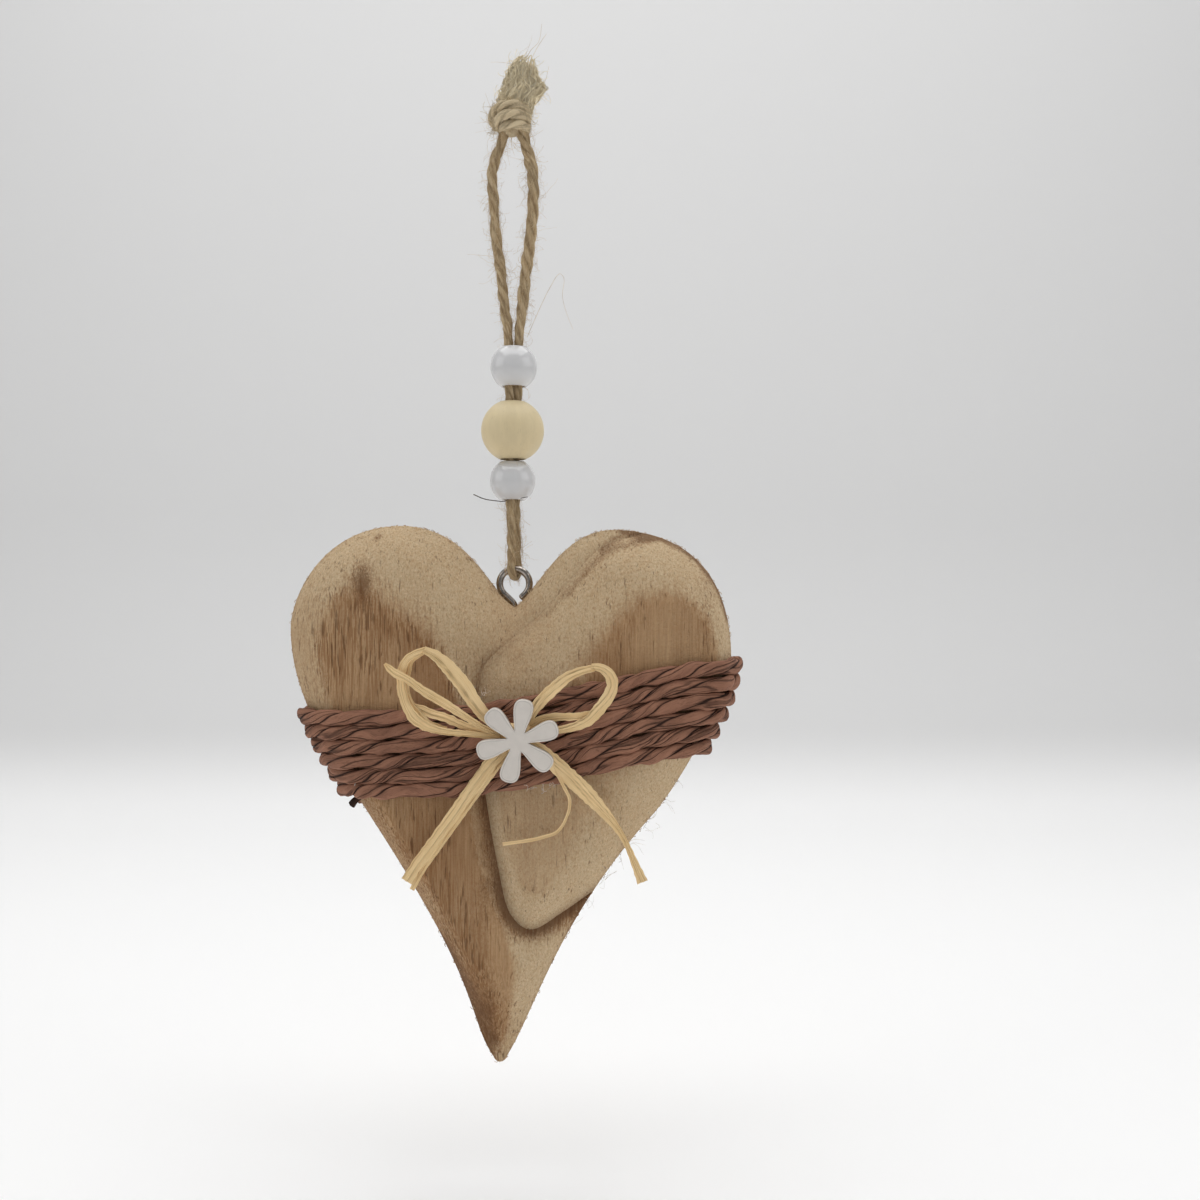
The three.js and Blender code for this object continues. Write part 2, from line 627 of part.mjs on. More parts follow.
// Half a turn of the wound cord, drawn taut over one face, from the left edge to the right one.
function halfTurn(leftZ, rightZ, inFront) {
  const half = CORD_WIDTH / 2;
  const left = rimAt(leftZ + half, -1);
  const right = rimAt(rightZ + half, 1);
  const rise = (share) => smooth(inFront ? share ** CLIMB_BEND : share);
  const zAt = (x) => lerp(leftZ, rightZ, rise(clamp01((x - left) / (right - left))));
  const clear = GAP + CORD_THICK / 2 + CORD_SLACK;
  const bearing = [[left, 0], [left, EDGE_HEIGHT], [right, EDGE_HEIGHT], [right, 0]];
  for (let i = 1; i < BEARING_SAMPLES; i += 1) {
    const x = lerp(left, right, i / BEARING_SAMPLES);
    const heights = [-half, 0, half].map((step) => {
      const z = zAt(x) + step;
      if (!isInside(x, z, rimLoop)) {
        return 0;
      }
      return inFront ? heightAt(x, z) : backHeight(x, z);
    });
    bearing.push([x, Math.max(...heights)]);
  }
  const fan = bearing.flatMap(([x, height]) => Array.from({ length: BEARING_FAN + 1 }, (_, i) => {
    const angle = (Math.PI * i) / BEARING_FAN;
    return [x + clear * Math.cos(angle), height + clear * Math.sin(angle)];
  }));
  const line = resample(upperHull(fan), HALF_TURN_STEPS);
  return line.map(([x, height], i) => {
    const before = line[Math.max(0, i - 1)];
    const after = line[Math.min(line.length - 1, i + 1)];
    const facing = inFront ? -1 : 1;
    const atEnd = i === 0 || i === line.length - 1;
    const out = atEnd
      ? new THREE.Vector3(i === 0 ? -1 : 1, 0, 0)
      : new THREE.Vector3(before[1] - after[1], facing * (after[0] - before[0]), 0).normalize();
    return { at: new THREE.Vector3(x, facing * height, zAt(x)), out };
  });
}

function windingGeometry() {
  const leftZ = (row) => LEFT_ROW_TOP + row * LEFT_ROW_STEP;
  const rightZ = (row) => RIGHT_ROW_TOP + row * RIGHT_ROW_STEP;
  const behind = (row) => halfTurn(leftZ(row + 1), rightZ(row), false).reverse();
  const places = behind(-1).slice(Math.round(HALF_TURN_STEPS * START_SHARE));
  for (let row = 0; row < ROWS; row += 1) {
    const isLast = row === ROWS - 1;
    const back = behind(row).slice(1, isLast ? Math.round(HALF_TURN_STEPS * END_SHARE) : undefined);
    places.push(...halfTurn(leftZ(row), rightZ(row), true).slice(1), ...back);
  }
  const section = ellipseSection(CORD_SIDES, CORD_WIDTH / 2, CORD_THICK / 2);
  return sweep(places.map((p) => p.at), places.map((p) => p.out), () => section);
}

function beadGeometry(radius) {
  const lip = BORE_RADIUS + BORE_CHAMFER;
  const half = Math.sqrt(radius * radius - lip * lip);
  const reach = Math.asin(half / radius);
  const arc = Array.from({ length: BEAD_ARC_STEPS + 1 }, (_, i) => {
    const angle = lerp(-reach, reach, i / BEAD_ARC_STEPS);
    return new THREE.Vector2(radius * Math.cos(angle), radius * Math.sin(angle));
  });
  const foot = new THREE.Vector2(BORE_RADIUS, -half + BORE_CHAMFER);
  const profile = [foot, ...arc, new THREE.Vector2(BORE_RADIUS, half - BORE_CHAMFER), foot];
  return new THREE.LatheGeometry(profile, BEAD_SIDES).rotateX(Math.PI / 2);
}

function middleAt(z) {
  const [top, middle, bottom] = BEADS;
  const stops = [[top.z, top.x], [middle.z, middle.x], [bottom.z, bottom.x], [EYE_CENTRE[1], EYE_CENTRE[0]]];
  const next = stops.findIndex(([level]) => z > level);
  if (next <= 0) {
    return next === 0 ? top.x : EYE_CENTRE[0];
  }
  const [[z0, x0], [z1, x1]] = [stops[next - 1], stops[next]];
  return lerp(x0, x1, (z - z0) / (z1 - z0));
}

// One leg, a bend through the eye, and the other leg back up to the knot.
function twineCurve() {
  const apart = LEG_SPACING / 2;
  const turned = (side) => LEG_TURN.map(([z, degrees]) => {
    const angle = (degrees * Math.PI) / 180;
    const away = side * apart;
    return new THREE.Vector3(middleAt(z) + away * Math.cos(angle), away * Math.sin(angle), z);
  });
  const leg = (points, side) => [...points.map(([x, z]) => new THREE.Vector3(x, 0, z)), ...turned(side)];
  const wireTop = EYE_CENTRE[1] + EYE_RADIUS;
  const turn = (BEND_TURN * Math.PI) / 180;
  const bend = BEND_STOPS.map((degrees) => {
    const angle = (degrees * Math.PI) / 180;
    const away = BEND_RADIUS * Math.cos(angle);
    return new THREE.Vector3(
      EYE_CENTRE[0] + away * Math.sin(turn), away * Math.cos(turn), wireTop + BEND_RADIUS * Math.sin(angle));
  });
  const points = [...leg(LEFT_LEG, -1), ...bend, ...leg(RIGHT_LEG, 1).reverse()];
  return new THREE.CatmullRomCurve3(points, false, 'centripetal');
}

function twineGeometry() {
  const path = twineCurve().getPoints(TWINE_STEPS);
  const squeeze = (z) => smooth((z - SQUEEZED_BELOW) / (FULL_ABOVE - SQUEEZED_BELOW));
  const sideways = path.map(() => new THREE.Vector3(1, 0, 0));
  return sweep(path, sideways, (i) => {
    const full = i < TWINE_STEPS / 2 ? LEFT_FULL : RIGHT_FULL;
    const radius = lerp(TWINE, full, squeeze(path[i].z)) / 2;
    return ellipseSection(TWINE_SIDES, radius, radius);
  });
}

function ball([x, y, z], [rx, ry, rz]) {
  return new THREE.SphereGeometry(1, ...KNOT_BALL).scale(rx, ry, rz).translate(x, y, z);
}

function tuftGeometry() {
  const rings = TUFT.map(([x, z, rx, ry]) => (
    ellipseSection(TUFT_SIDES, rx, ry).map(([dx, dy]) => new THREE.Vector3(x + dx, dy, z))
  ));
  return tubeOfRings(rings);
}

// Everything under the place where the loop bears is cut away.
function knotGeometry() {
  const [x, y] = KNOT_CENTRE;
  const wraps = KNOT_WRAPS.map(({ z, tilt, radii, wire }) => (
    new THREE.TorusGeometry(radii[0], wire, ...WRAP_STEPS)
      .scale(1, radii[1] / radii[0], 1)
      .rotateY((tilt * Math.PI) / 180)
      .translate(x, y, z)
  ));
  const ear = ball(KNOT_EAR.slice(0, 3), Array(3).fill(KNOT_EAR[3]));
  const whole = joined([ball(KNOT_CENTRE, KNOT_RADII), ear, ...wraps, tuftGeometry()]);
  const room = 4 * KNOT_RADII[0];
  const below = new THREE.BoxGeometry(room, room, room).translate(0, 0, -room / 2);
  return geometryOf(solid(whole).subtract(solid(below)));
}

function stripGeometry(places) {
  const path = places.map(([x, y, z]) => new THREE.Vector3(x, y, z));
  const half = RAFFIA_THICK / 2;
  const front = path.map(() => new THREE.Vector3(0, -1, 0));
  return sweep(path, front, (i) => {
    const reach = places[i][3] / 2;
    return [[reach, -half], [reach, half], [-reach, half], [-reach, -half]];
  });
}

function bowGeometry() {
  return joined([ball(BOW_KNOT.centre, BOW_KNOT.radii), ...RAFFIA.map(stripGeometry)]);
}

function flowerGeometry() {
  const shape = new THREE.Shape();
  const inset = FLOWER_ROUND;
  const reach = PETAL_REACH - inset;
  const foot = PETAL_FOOT - inset;
  const belly = PETAL_BELLY - inset;
  const neck = PETAL_NECK[1] - inset;
  const place = (degrees, along, across) => {
    const angle = (degrees * Math.PI) / 180;
    return [
      along * Math.cos(angle) - across * Math.sin(angle), along * Math.sin(angle) + across * Math.cos(angle)];
  };
  const notches = PETAL_ANGLES.map((degrees, k) => {
    const next = k + 1 < PETAL_ANGLES.length ? PETAL_ANGLES[k + 1] : PETAL_ANGLES[0] + 360;
    return (degrees + next) / 2;
  });
  shape.moveTo(...place(notches[notches.length - 1], foot, 0));
  PETAL_ANGLES.forEach((degrees, k) => {
    const tip = place(degrees, reach, 0);
    shape.bezierCurveTo(...place(degrees, PETAL_NECK[0], -neck), ...place(degrees, reach, -belly), ...tip);
    shape.bezierCurveTo(
      ...place(degrees, reach, belly), ...place(degrees, PETAL_NECK[0], neck), ...place(notches[k], foot, 0));
  });
  const options = {
    depth: FLOWER_THICK - 2 * inset,
    bevelThickness: inset,
    bevelSize: inset,
    bevelSegments: 1,
    curveSegments: FLOWER_CURVE_STEPS,
  };
  return new THREE.ExtrudeGeometry(shape, options)
    .rotateX(Math.PI / 2)
    .translate(FLOWER_CENTRE[0], FLOWER_BACK - inset, FLOWER_CENTRE[1]);
}

const ornament = new THREE.Group();

function addPiece(name, geometry, color, roughness, metalness = 0) {
  const piece = new THREE.Mesh(geometry, new THREE.MeshStandardMaterial({ color, roughness, metalness }));
  piece.name = name;
  ornament.add(piece);
  return piece;
}

addPiece('heart', carvedHeart(), 0xc2a27a, 0.85);
addPiece('screw_eye', eyeGeometry(), 0xb9b4ae, 0.25, 1);
addPiece('paper_cord', windingGeometry(), 0x7d5a4c, 0.9);
addPiece('raffia_bow', bowGeometry(), 0xe2c88e, 0.6);
addPiece('flower', flowerGeometry(), 0xdcdcd8, 0.5);
BEADS.forEach(({ name, radius, x, z, colour, roughness }) => {
  addPiece(name, beadGeometry(radius), colour, roughness).position.set(x, 0, z);
});
addPiece('jute_twine', twineGeometry(), 0xb39a6e, 0.95);
addPiece('twine_knot', knotGeometry(), 0xb9a27a, 0.95);

export default ornament;
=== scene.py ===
"""Carved wooden heart on a jute loop: the looks of each piece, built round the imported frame.

The tables and the shape functions work in millimetres. Meshes are made in metres, in the frame of the part.
"""

import math

import bmesh
import bpy
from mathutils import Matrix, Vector
import numpy as np
from bpy.props import FloatProperty, FloatVectorProperty, IntProperty, PointerProperty


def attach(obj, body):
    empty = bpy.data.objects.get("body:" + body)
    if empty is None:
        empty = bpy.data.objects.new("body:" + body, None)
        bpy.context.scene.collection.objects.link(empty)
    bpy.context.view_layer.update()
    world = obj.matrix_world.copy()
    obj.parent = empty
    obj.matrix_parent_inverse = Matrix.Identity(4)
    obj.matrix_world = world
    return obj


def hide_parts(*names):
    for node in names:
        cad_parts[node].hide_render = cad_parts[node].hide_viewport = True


bl_info = {
    "name": "Carved Heart Ornament",
    "version": (1, 0, 0),
    "blender": (4, 5, 0),
    "location": "3D View > Sidebar > Ornament",
    "description": "Builds a carved wooden heart with its wound cord, bow, beads and twine loop",
    "category": "Add Mesh",
}

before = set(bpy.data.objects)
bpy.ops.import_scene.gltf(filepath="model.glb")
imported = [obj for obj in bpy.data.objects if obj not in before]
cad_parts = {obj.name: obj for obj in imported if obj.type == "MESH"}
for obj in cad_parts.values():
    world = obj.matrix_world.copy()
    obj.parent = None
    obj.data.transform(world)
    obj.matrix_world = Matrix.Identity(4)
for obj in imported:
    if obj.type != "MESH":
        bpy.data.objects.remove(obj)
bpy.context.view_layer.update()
MM = 0.001
FRONT = (0.0, -1.0, 0.0)

# Sizes of the solids, in millimetres.
GAP = 0.3
LAP_TOP = (33.4, -101.7)
LAP_FOOT = (20.6, -192.5)
NOTCH = (0.6, -120.6)
# Outline: each row is one cubic curve, as two handles and the end point in x and z.
LEFT_RIM = [
    ((30.7, -101.1), (28.1, -100.9), (25.7, -100.9)),
    ((12.5, -100.9), (6.5, -116.5), NOTCH),
    ((-7.0, -116.3), (-11.0, -99.9), (-28.2, -99.9)),
    ((-48.4, -99.9), (-56.2, -118.2), (-56.2, -125.8)),
    ((-56.2, -148.8), (-38.4, -166.9), (-20.9, -198.2)),
    ((-8.9, -219.8), (-9.4, -228.1), (-4.7, -234.5)),
    ((-4.2, -236.3), (-1.9, -236.3), (-1.4, -234.5)),
    ((4.3, -225.4), (8.4, -210.8), LAP_FOOT),
]
RIGHT_RIM = [
    ((44.1, -103.9), (55.6, -111.6), (55.6, -133.7)),
    ((55.6, -142.5), (41.7, -166.5), (35.8, -173.0)),
    ((29.6, -179.9), (24.6, -186.4), LAP_FOOT),
]
CREASE = [
    LAP_TOP, (22.3, -105.7), (14.8, -113.7), (8.5, -121.2), (-0.3, -128.8), (-6.6, -135.1), (-8.0, -141.3),
    (-7.8, -155.0), (-6.6, -165.9), (-3.3, -185.0), (0.0, -197.5), (5.0, -201.3), (13.3, -197.2), LAP_FOOT,
]
# High, nearly flat ground of each carved strand.
LEFT_CROWN = [
    (-39.6, -118.7), (-32.2, -123.6), (-22.2, -131.1), (-17.3, -138.5), (-13.6, -148.4), (-11.8, -165.7),
    (-9.9, -180.6), (-6.1, -192.9), (-2.4, -201.6), (-1.0, -210.3), (-1.7, -220.1), (-3.0, -229.0),
    (-6.3, -217.7), (-11.1, -205.3), (-17.3, -192.9), (-24.7, -180.6), (-30.9, -170.7), (-39.6, -155.8),
    (-42.5, -141.0), (-44.0, -128.6),
]
RIGHT_CROWN = [
    (19.8, -141.0), (24.8, -131.1), (32.2, -122.4), (37.2, -120.0), (42.1, -120.0), (47.0, -123.6),
    (49.5, -128.6), (50.8, -141.0), (34.7, -152.1), (19.3, -162.8), (15.2, -171.7), (12.5, -182.3),
    (6.5, -190.5), (4.0, -189.2), (0.5, -180.6), (-1.7, -168.2), (-1.0, -157.0), (7.4, -147.2),
]
# Places that pair a point of the crease, counted in its points, with points of the left and right rims,
# counted in their curves.
STATIONS = [
    (0, 0, 0), (1, 1, 0.2), (2.2, 1.35, 0.38), (3.2, 1.7, 0.55), (4, 2, 0.7), (4.5, 2.4, 0.82),
    (4.9, 2.8, 0.92), (5.2, 3.2, 1), (5.6, 3.6, 1.08), (6, 4, 1.2), (7, 4.25, 1.5), (8, 4.5, 1.75),
    (9, 4.85, 2.1), (9.6, 5.35, 2.3), (10.2, 6, 2.45), (10.6, 6.5, 2.55), (10.9, 7, 2.62), (11.8, 7.5, 2.78),
    (13, 8, 3),
]
EDGE_HEIGHT, CREASE_HEIGHT, LEFT_HEIGHT, RIGHT_HEIGHT, BACK_HEIGHT = 3.5, 7.4, 11.0, 12.0, 9.0
CREASE_RUN_OUT = 12
BACK_SLOPE = 26
TIP_Z = -240
TIP_RISE = 34
ROUNDNESS = 0.55
# The carved slopes start gently over this width, more so on the left of the crease.
SOFT_FOOT, LAP_SOFT_FOOT, LAP_REACH = 1.0, 2.2, 6
# Wood left standing in the crease: its height and half its width.
CREASE_FILL, FILL_REACH = 0.9, 1.5
FILL_RUN_OUT = 4
BACK_CENTRE = (-1, -150)

WIRE = 1.8
EYE_CENTRE = (0.4, -114.5)
EYE_RADIUS = 3.8
EYE_MOUTH = 52
SHANK_END = -134

CORD_WIDTH = 3.1
CORD_THICK = 2.3
# Room between the wood and the middle of the cord.
CORD_CLEAR = GAP + CORD_THICK / 2 + 0.15
ROWS = 6
LEFT_ROW_TOP, LEFT_ROW_STEP = -147.9, -3.6
RIGHT_ROW_TOP, RIGHT_ROW_STEP = -135.2, -4.1
# Above 1, a row in front stays level for longer on the left.
ROW_BEND = 1.6
# Length of one turn of the strands in the cord; its sign says which way they turn.
CORD_PITCH = -20.5
CORD_FLATNESS = 0.74
# Each strand of the cord: how far its middle lies off the middle of the cord, and its radius, as shares of
# the radius of the cord; and the points round it, as angles from its slit.
STRAND_SHIFT, STRAND_GIRTH = 0.29, 0.71
STRAND_PLACES = (0, 0.05, 0.11, 0.2, 0.32, 0.5, 0.75, 1.05, 1.35)
# The cord's singed end that sticks out low on the left: places, and half its width and thickness.
CORD_STUB = [(-35.2, -2.2, -166.6), (-37.6, -4.6, -168.0), (-39.2, -5.6, -169.0), (-40.4, -5.0, -170.4)]
STUB_HALF = (1.1, 0.9)
# Where the cord starts and ends behind the heart, as shares of a half turn.
START_SHARE, END_SHARE = 0.66, 0.95

BORE_RADIUS = 2.85
BEADS = [
    ("bead_top_white", 6.0, 0.2, -59.0),
    ("bead_middle_wood", 8.05, -0.1, -75.3),
    ("bead_bottom_white", 5.85, -0.1, -88.2),
]

LEG_SPACING = 2.7
LEG_TOP = 2.2
LEFT_LEG = [
    (-1.9, LEG_TOP), (-2.7, -0.8), (-5.3, -8.6), (-4.9, -17.4), (-4.5, -24.1), (-3.2, -33.6), (-2.3, -42.5),
]
RIGHT_LEG = [
    (2.1, LEG_TOP), (2.9, -0.8), (4.9, -8.6), (5.1, -16.9), (4.6, -24.1), (3.4, -33.6), (2.5, -42.5),
]
# How far the pair of legs is turned at each height, in degrees.
LEG_TURN = [(-51.5, 0), (-59, 8), (-66, 42), (-75, 66), (-84, 72), (-93, 68), (-101, 68)]
BEND_RADIUS = 2.2
BEND_TURN = 22
BEND_STOPS = (-205, -180, -150, -120, -90, -60, -30, 0, 25)
SQUEEZED_BELOW, FULL_ABOVE = -52, -43
SQUEEZED, LEFT_FULL, RIGHT_FULL = 0.93, 1.04, 1.16

# Length of one turn of the plies in the twine and in the knot.
TWINE_LAY, KNOT_LAY = -14, -11
# How much thinner the twine is pressed on the wire of the eye, and over what distance it fills out.
PRESSED, PRESSED_NEAR, PRESSED_RUN_OUT = 0.82, 2.5, 5
PLIES = 3
# Heights between which beads and eye leave no room for loose fibres.
BEADED = (-98, -50)

# Middle of the knot, with half its width, depth and height.
KNOT_MIDDLE, KNOT_HALF = (-0.8, 0, 4.2), (4.3, 3.4, 3.8)
# Strands of the knot: places and radius of the strand.
KNOT_STRANDS = [
    ([(-4.9, 0.6, 3.4), (-4.7, -1.8, 5.9), (-2.2, -3.2, 6.9), (1.2, -3.3, 6.7), (3.5, -2.0, 5.8),
      (3.9, 0.4, 4.6)], 1.4),
    ([(-4.6, 0.4, 2.2), (-3.6, -2.7, 3.5), (-0.4, -3.9, 4.5), (2.6, -3.0, 4.2), (3.9, -0.4, 3.1)], 1.45),
    ([(-3.4, -0.6, 1.7), (-1.6, -3.0, 1.8), (1.2, -3.4, 2.2), (3.4, -1.8, 2.0), (3.6, 0.6, 1.8)], 1.25),
    ([(-3.8, 1.2, 2.6), (-5.1, 0.2, 4.0), (-4.9, -0.6, 5.6), (-3.2, -0.4, 7.2)], 1.3),
    ([(-4.4, 0.6, 5.8), (-2.4, 3.0, 6.4), (1.0, 3.1, 5.6), (3.8, 1.0, 4.9)], 1.4),
    ([(-4.4, 0.6, 2.8), (-2.0, 3.2, 2.6), (1.2, 3.2, 2.8), (3.8, 0.8, 2.9)], 1.4),
]
# Frayed tuft: its middle in x, the height there, and half its width and depth.
TUFT = [
    (0.6, 5.2, 3.4, 2.4), (0.9, 8.6, 4.1, 2.6), (2.6, 12.3, 4.9, 2.6), (2.6, 15.2, 4.0, 2.3),
    (2.5, 17.6, 3.3, 2.0), (3.5, 20.3, 2.0, 1.5),
]
TUFT_CORE_TOP = 18.6
TUFT_MIDDLE, TUFT_HALF = (2.4, 0, 14), (2.2, 1.6, 6.0)
TUFT_STRANDS = 330
LOOSE_CURLS = {"knot": 70, "tuft": 40, "twine": 220}
WRAPPED_FIBRES = 210
# Long single hairs: places and radius.
LONG_HAIRS = [
    ([(3.6, -0.5, -51.5), (6.5, -1.0, -45.0), (9.5, -1.5, -39.0), (12.0, -1.5, -35.4), (13.1, -1.4, -36.6),
      (12.7, -1.2, -41.0), (13.8, -1.2, -45.5), (15.4, -1.0, -49.5)], 0.05),
    ([(2.4, 0, 18), (4.4, -0.4, 21.8), (6.6, -0.2, 24.4), (7.4, 0, 29.0)], 0.055),
    ([(3.9, 0, 18), (5.6, 0.4, 22.0), (7.6, 0.6, 25.4), (8.6, 0.4, 26.6)], 0.055),
    ([(7.2, 0, 12), (8.4, 0.4, 15.0), (9.2, 0.6, 18.4)], 0.05),
]
DARK_FIBRE = [
    (-9.8, -3.4, -91.9), (-7.2, -3.4, -93.0), (-4.2, -3.2, -93.5), (-1.9, -3.0, -93.6), (-1.0, -2.9, -93.1),
    (1.6, -2.7, -92.9), (4.0, -3.0, -92.5),
]
# Where thin pale threads are snagged: on the right edge of the wood and on the cord.
EDGE_SNAGS = [
    (41.0, -165.6), (38.6, -169.8), (35.0, -174.4), (33.2, -177.0), (30.0, -180.6), (27.4, -183.8),
    (24.8, -187.4), (22.6, -190.6), (18.6, -195.4), (15.2, -200.2),
]
CORD_SNAGS = [(-9.4, -141.2), (-6.0, -142.0), (5.2, -164.6), (8.6, -165.4), (10.4, -163.8)]
CORD_THREAD = [
    (-38.6, -11.6, -166.0), (-38.0, -12.6, -163.6), (-36.2, -13.2, -162.4), (-34.2, -13.2, -163.0),
    (-33.2, -12.8, -165.2), (-34.6, -12.4, -167.0),
]

BOW_KNOT = ((2.0, -17.6, -152.0), (3.6, 1.6, 3.2))
# Raffia strips: places with the width of the strip there.
RAFFIA_THICK = 0.22
RAFFIA = {
    "left_loop_front": [
        (-1.5, -18.2, -150.6, 2.4), (-4.1, -18.4, -148.1, 2.6), (-5.9, -18.7, -146.5, 3.2),
        (-8.5, -19.3, -142.9, 3.7), (-10.5, -19.8, -139.5, 3.8), (-14.5, -20.4, -134.6, 3.5),
        (-17.3, -20.6, -132.0, 2.6), (-20.1, -20.6, -130.7, 1.7)],
    "left_loop_back": [
        (-19.4, -20.4, -130.5, 1.4), (-22.6, -20.2, -131.7, 1.8), (-24.6, -19.9, -133.2, 2.0),
        (-25.8, -19.6, -135.6, 2.0), (-25.9, -19.2, -140.1, 2.2), (-24.8, -18.8, -144.1, 2.4),
        (-22.8, -18.6, -147.5, 2.9), (-20.1, -18.5, -149.3, 2.5), (-16.7, -18.4, -150.4, 1.8),
        (-13.3, -18.3, -150.9, 1.6), (-9.3, -18.2, -151.2, 1.5), (-4.1, -18.0, -151.8, 1.5),
        (0.5, -17.9, -152.0, 1.5)],
    "left_loop_inner": [
        (-20.5, -19.5, -131.5, 1.0), (-23.6, -19.1, -133.3, 1.3), (-24.3, -18.8, -136.8, 1.4),
        (-24.9, -18.4, -140.9, 1.6), (-23.8, -18.1, -144.0, 1.8), (-21.8, -17.9, -146.4, 2.0),
        (-19.3, -17.8, -148.9, 1.7), (-15.0, -17.8, -150.2, 1.3)],
    "left_lower": [
        (-23.2, -17.7, -144.5, 1.5), (-20.9, -17.7, -145.2, 2.0), (-18.9, -17.6, -146.4, 2.2),
        (-15.3, -17.5, -147.3, 2.2), (-11.3, -17.5, -149.1, 2.0), (-6.5, -17.5, -150.7, 1.8),
        (-0.5, -17.5, -151.6, 1.6)],
    "free_strip": [
        (-29.5, -21.3, -134.0, 0.7), (-28.4, -21.3, -135.2, 1.8), (-27.0, -21.2, -136.4, 2.1),
        (-24.2, -21.0, -137.7, 1.8), (-20.1, -20.8, -140.7, 2.3), (-14.9, -20.1, -143.9, 2.2),
        (-9.7, -19.3, -147.3, 1.8), (-6.1, -18.7, -149.7, 1.5), (-1.7, -18.2, -151.7, 1.4)],
    "right_loop_top": [
        (3.2, -18.1, -150.2, 2.0), (4.6, -18.3, -148.0, 2.3), (6.4, -18.7, -145.1, 2.6),
        (8.4, -19.0, -142.7, 3.0), (11.2, -19.6, -140.1, 3.2), (14.4, -20.0, -137.2, 2.5),
        (17.6, -20.3, -135.8, 2.0), (20.9, -20.5, -135.1, 1.7)],
    "right_loop_turn": [
        (20.2, -20.6, -134.7, 1.4), (22.8, -20.5, -135.0, 2.2), (24.9, -20.2, -136.8, 2.8),
        (25.5, -19.8, -139.3, 2.8), (24.4, -19.4, -142.1, 3.0), (22.0, -19.0, -145.3, 3.0),
        (19.6, -18.7, -148.1, 2.6), (16.4, -18.5, -149.4, 2.2), (12.8, -18.3, -150.2, 1.9),
        (8.8, -18.2, -150.5, 1.8), (4.0, -18.0, -151.3, 1.6)],
    "right_lower": [
        (20.6, -17.8, -146.1, 1.2), (16.0, -17.6, -147.2, 1.9), (12.0, -17.5, -147.1, 2.0),
        (8.4, -17.5, -147.5, 2.0), (4.0, -17.6, -149.9, 1.8)],
    "left_tail": [
        (0.8, -17.4, -153.0, 2.6), (-4.3, -17.1, -158.4, 3.2), (-8.9, -16.6, -164.6, 3.0),
        (-13.4, -15.5, -170.9, 2.9), (-18.2, -14.6, -177.6, 2.8), (-22.4, -14.2, -183.3, 2.8),
        (-25.3, -14.0, -187.9, 2.9)],
    "left_tail_edge": [
        (2.0, -17.2, -154.5, 1.0), (-2.8, -16.9, -159.6, 1.3), (-7.4, -16.4, -165.8, 1.3),
        (-11.9, -15.3, -172.1, 1.2), (-16.7, -14.4, -178.8, 1.2), (-20.9, -14.0, -184.5, 1.3),
        (-24.0, -13.8, -190.0, 1.3)],
    "right_tail": [
        (3.3, -17.4, -152.4, 3.2), (9.0, -17.2, -156.6, 4.0), (14.2, -16.8, -161.2, 4.1),
        (18.9, -15.9, -165.8, 3.9), (22.6, -14.8, -169.9, 3.2), (25.4, -14.0, -173.4, 2.1),
        (27.7, -13.6, -176.7, 1.5), (29.5, -13.4, -180.2, 1.4), (31.0, -13.3, -184.0, 1.9),
        (32.8, -13.2, -188.3, 2.7)],
    "thin_strand": [
        (10.4, -17.0, -158.2, 0.7), (13.3, -16.8, -164.0, 0.8), (15.0, -15.8, -167.2, 0.8),
        (14.8, -15.2, -170.2, 0.7), (13.3, -14.8, -173.9, 0.7), (11.5, -14.8, -176.0, 0.8),
        (6.2, -14.8, -177.5, 0.9), (-1.6, -14.8, -178.6, 0.9)],
}

FLOWER_CENTRE = (2.5, -152.7)
FLOWER_BACK = -19.6
FLOWER_THICK = 2.2
PETAL_ANGLES = (-104, -39, 19, 80, 135, 195)
PETAL_REACH = 10.2
PETAL_FOOT = 2.6
PETAL_NECK = (5.2, 1.7)
PETAL_BELLY = 4.1

# Marks on the front of the wood. Round ones: strength, place, half width and half height. Drawn-out ones:
# strength, line and half width.
CHAR_BLOBS = [
    (0.5, (-37.4, -112.6), 3.2, 4.5), (0.35, (-36.5, -115.5), 1.5, 4.0), (0.85, (-33.5, -102.8), 0.9, 0.9),
    (0.3, (-38.5, -122.0), 6, 7), (0.35, (-30.0, -126.0), 4, 4), (0.3, (-20.0, -131.0), 4, 3),
    (0.45, (48.5, -115.5), 3.0, 6), (0.4, (50.0, -127.5), 2.4, 5),
]
CHAR_STROKES = [
    (0.6, [(22.5, -105.4), (28.5, -101.8), (38.2, -103.4)], 0.9),
    (0.55, [(39.7, -104.6), (47.0, -108.2), (52.8, -114.5), (54.8, -123.0)], 0.8),
    (0.45, [(-7.6, -190), (-6.6, -203), (-5.0, -214.6), (-3.9, -222), (-3.8, -233)], 1.7),
    (0.3, [(-19.0, -180), (-13.5, -196), (-9.5, -209), (-6.0, -222)], 1.8),
    (0.75, [(-16.5, -205.0), (-12.5, -213.0), (-8.8, -222.0), (-6.2, -230.0)], 2.0),
]
STREAK_BLOBS = [(0.9, (-43.0, -130.0), 7, 12), (0.6, (-33.0, -131.0), 8, 8)]
STREAK_STROKES = [
    (0.8, [(-36, -119.5), (-27, -125), (-19, -132), (-14, -142)], 2.2),
    (0.8, [(18.5, -142), (24.8, -132), (31, -123.5)], 1.8),
    (0.5, [(46, -121.5), (50, -129), (50, -138)], 2.0),
    (0.9, [(-40, -164), (-30, -178), (-20, -196), (-11, -214), (-6, -228)], 4.5),
    (0.5, [(-24, -166), (-16, -186), (-9, -206), (-6, -222)], 4.0),
    (0.7, [(14, -200), (24, -190.5), (36, -175)], 1.4),
    # Painted shadow of the crease, outside the foot of the right strand.
    (0.6, [(0.1, -201.4), (9.9, -202.4), (17.3, -195.4)], 1.2),
]
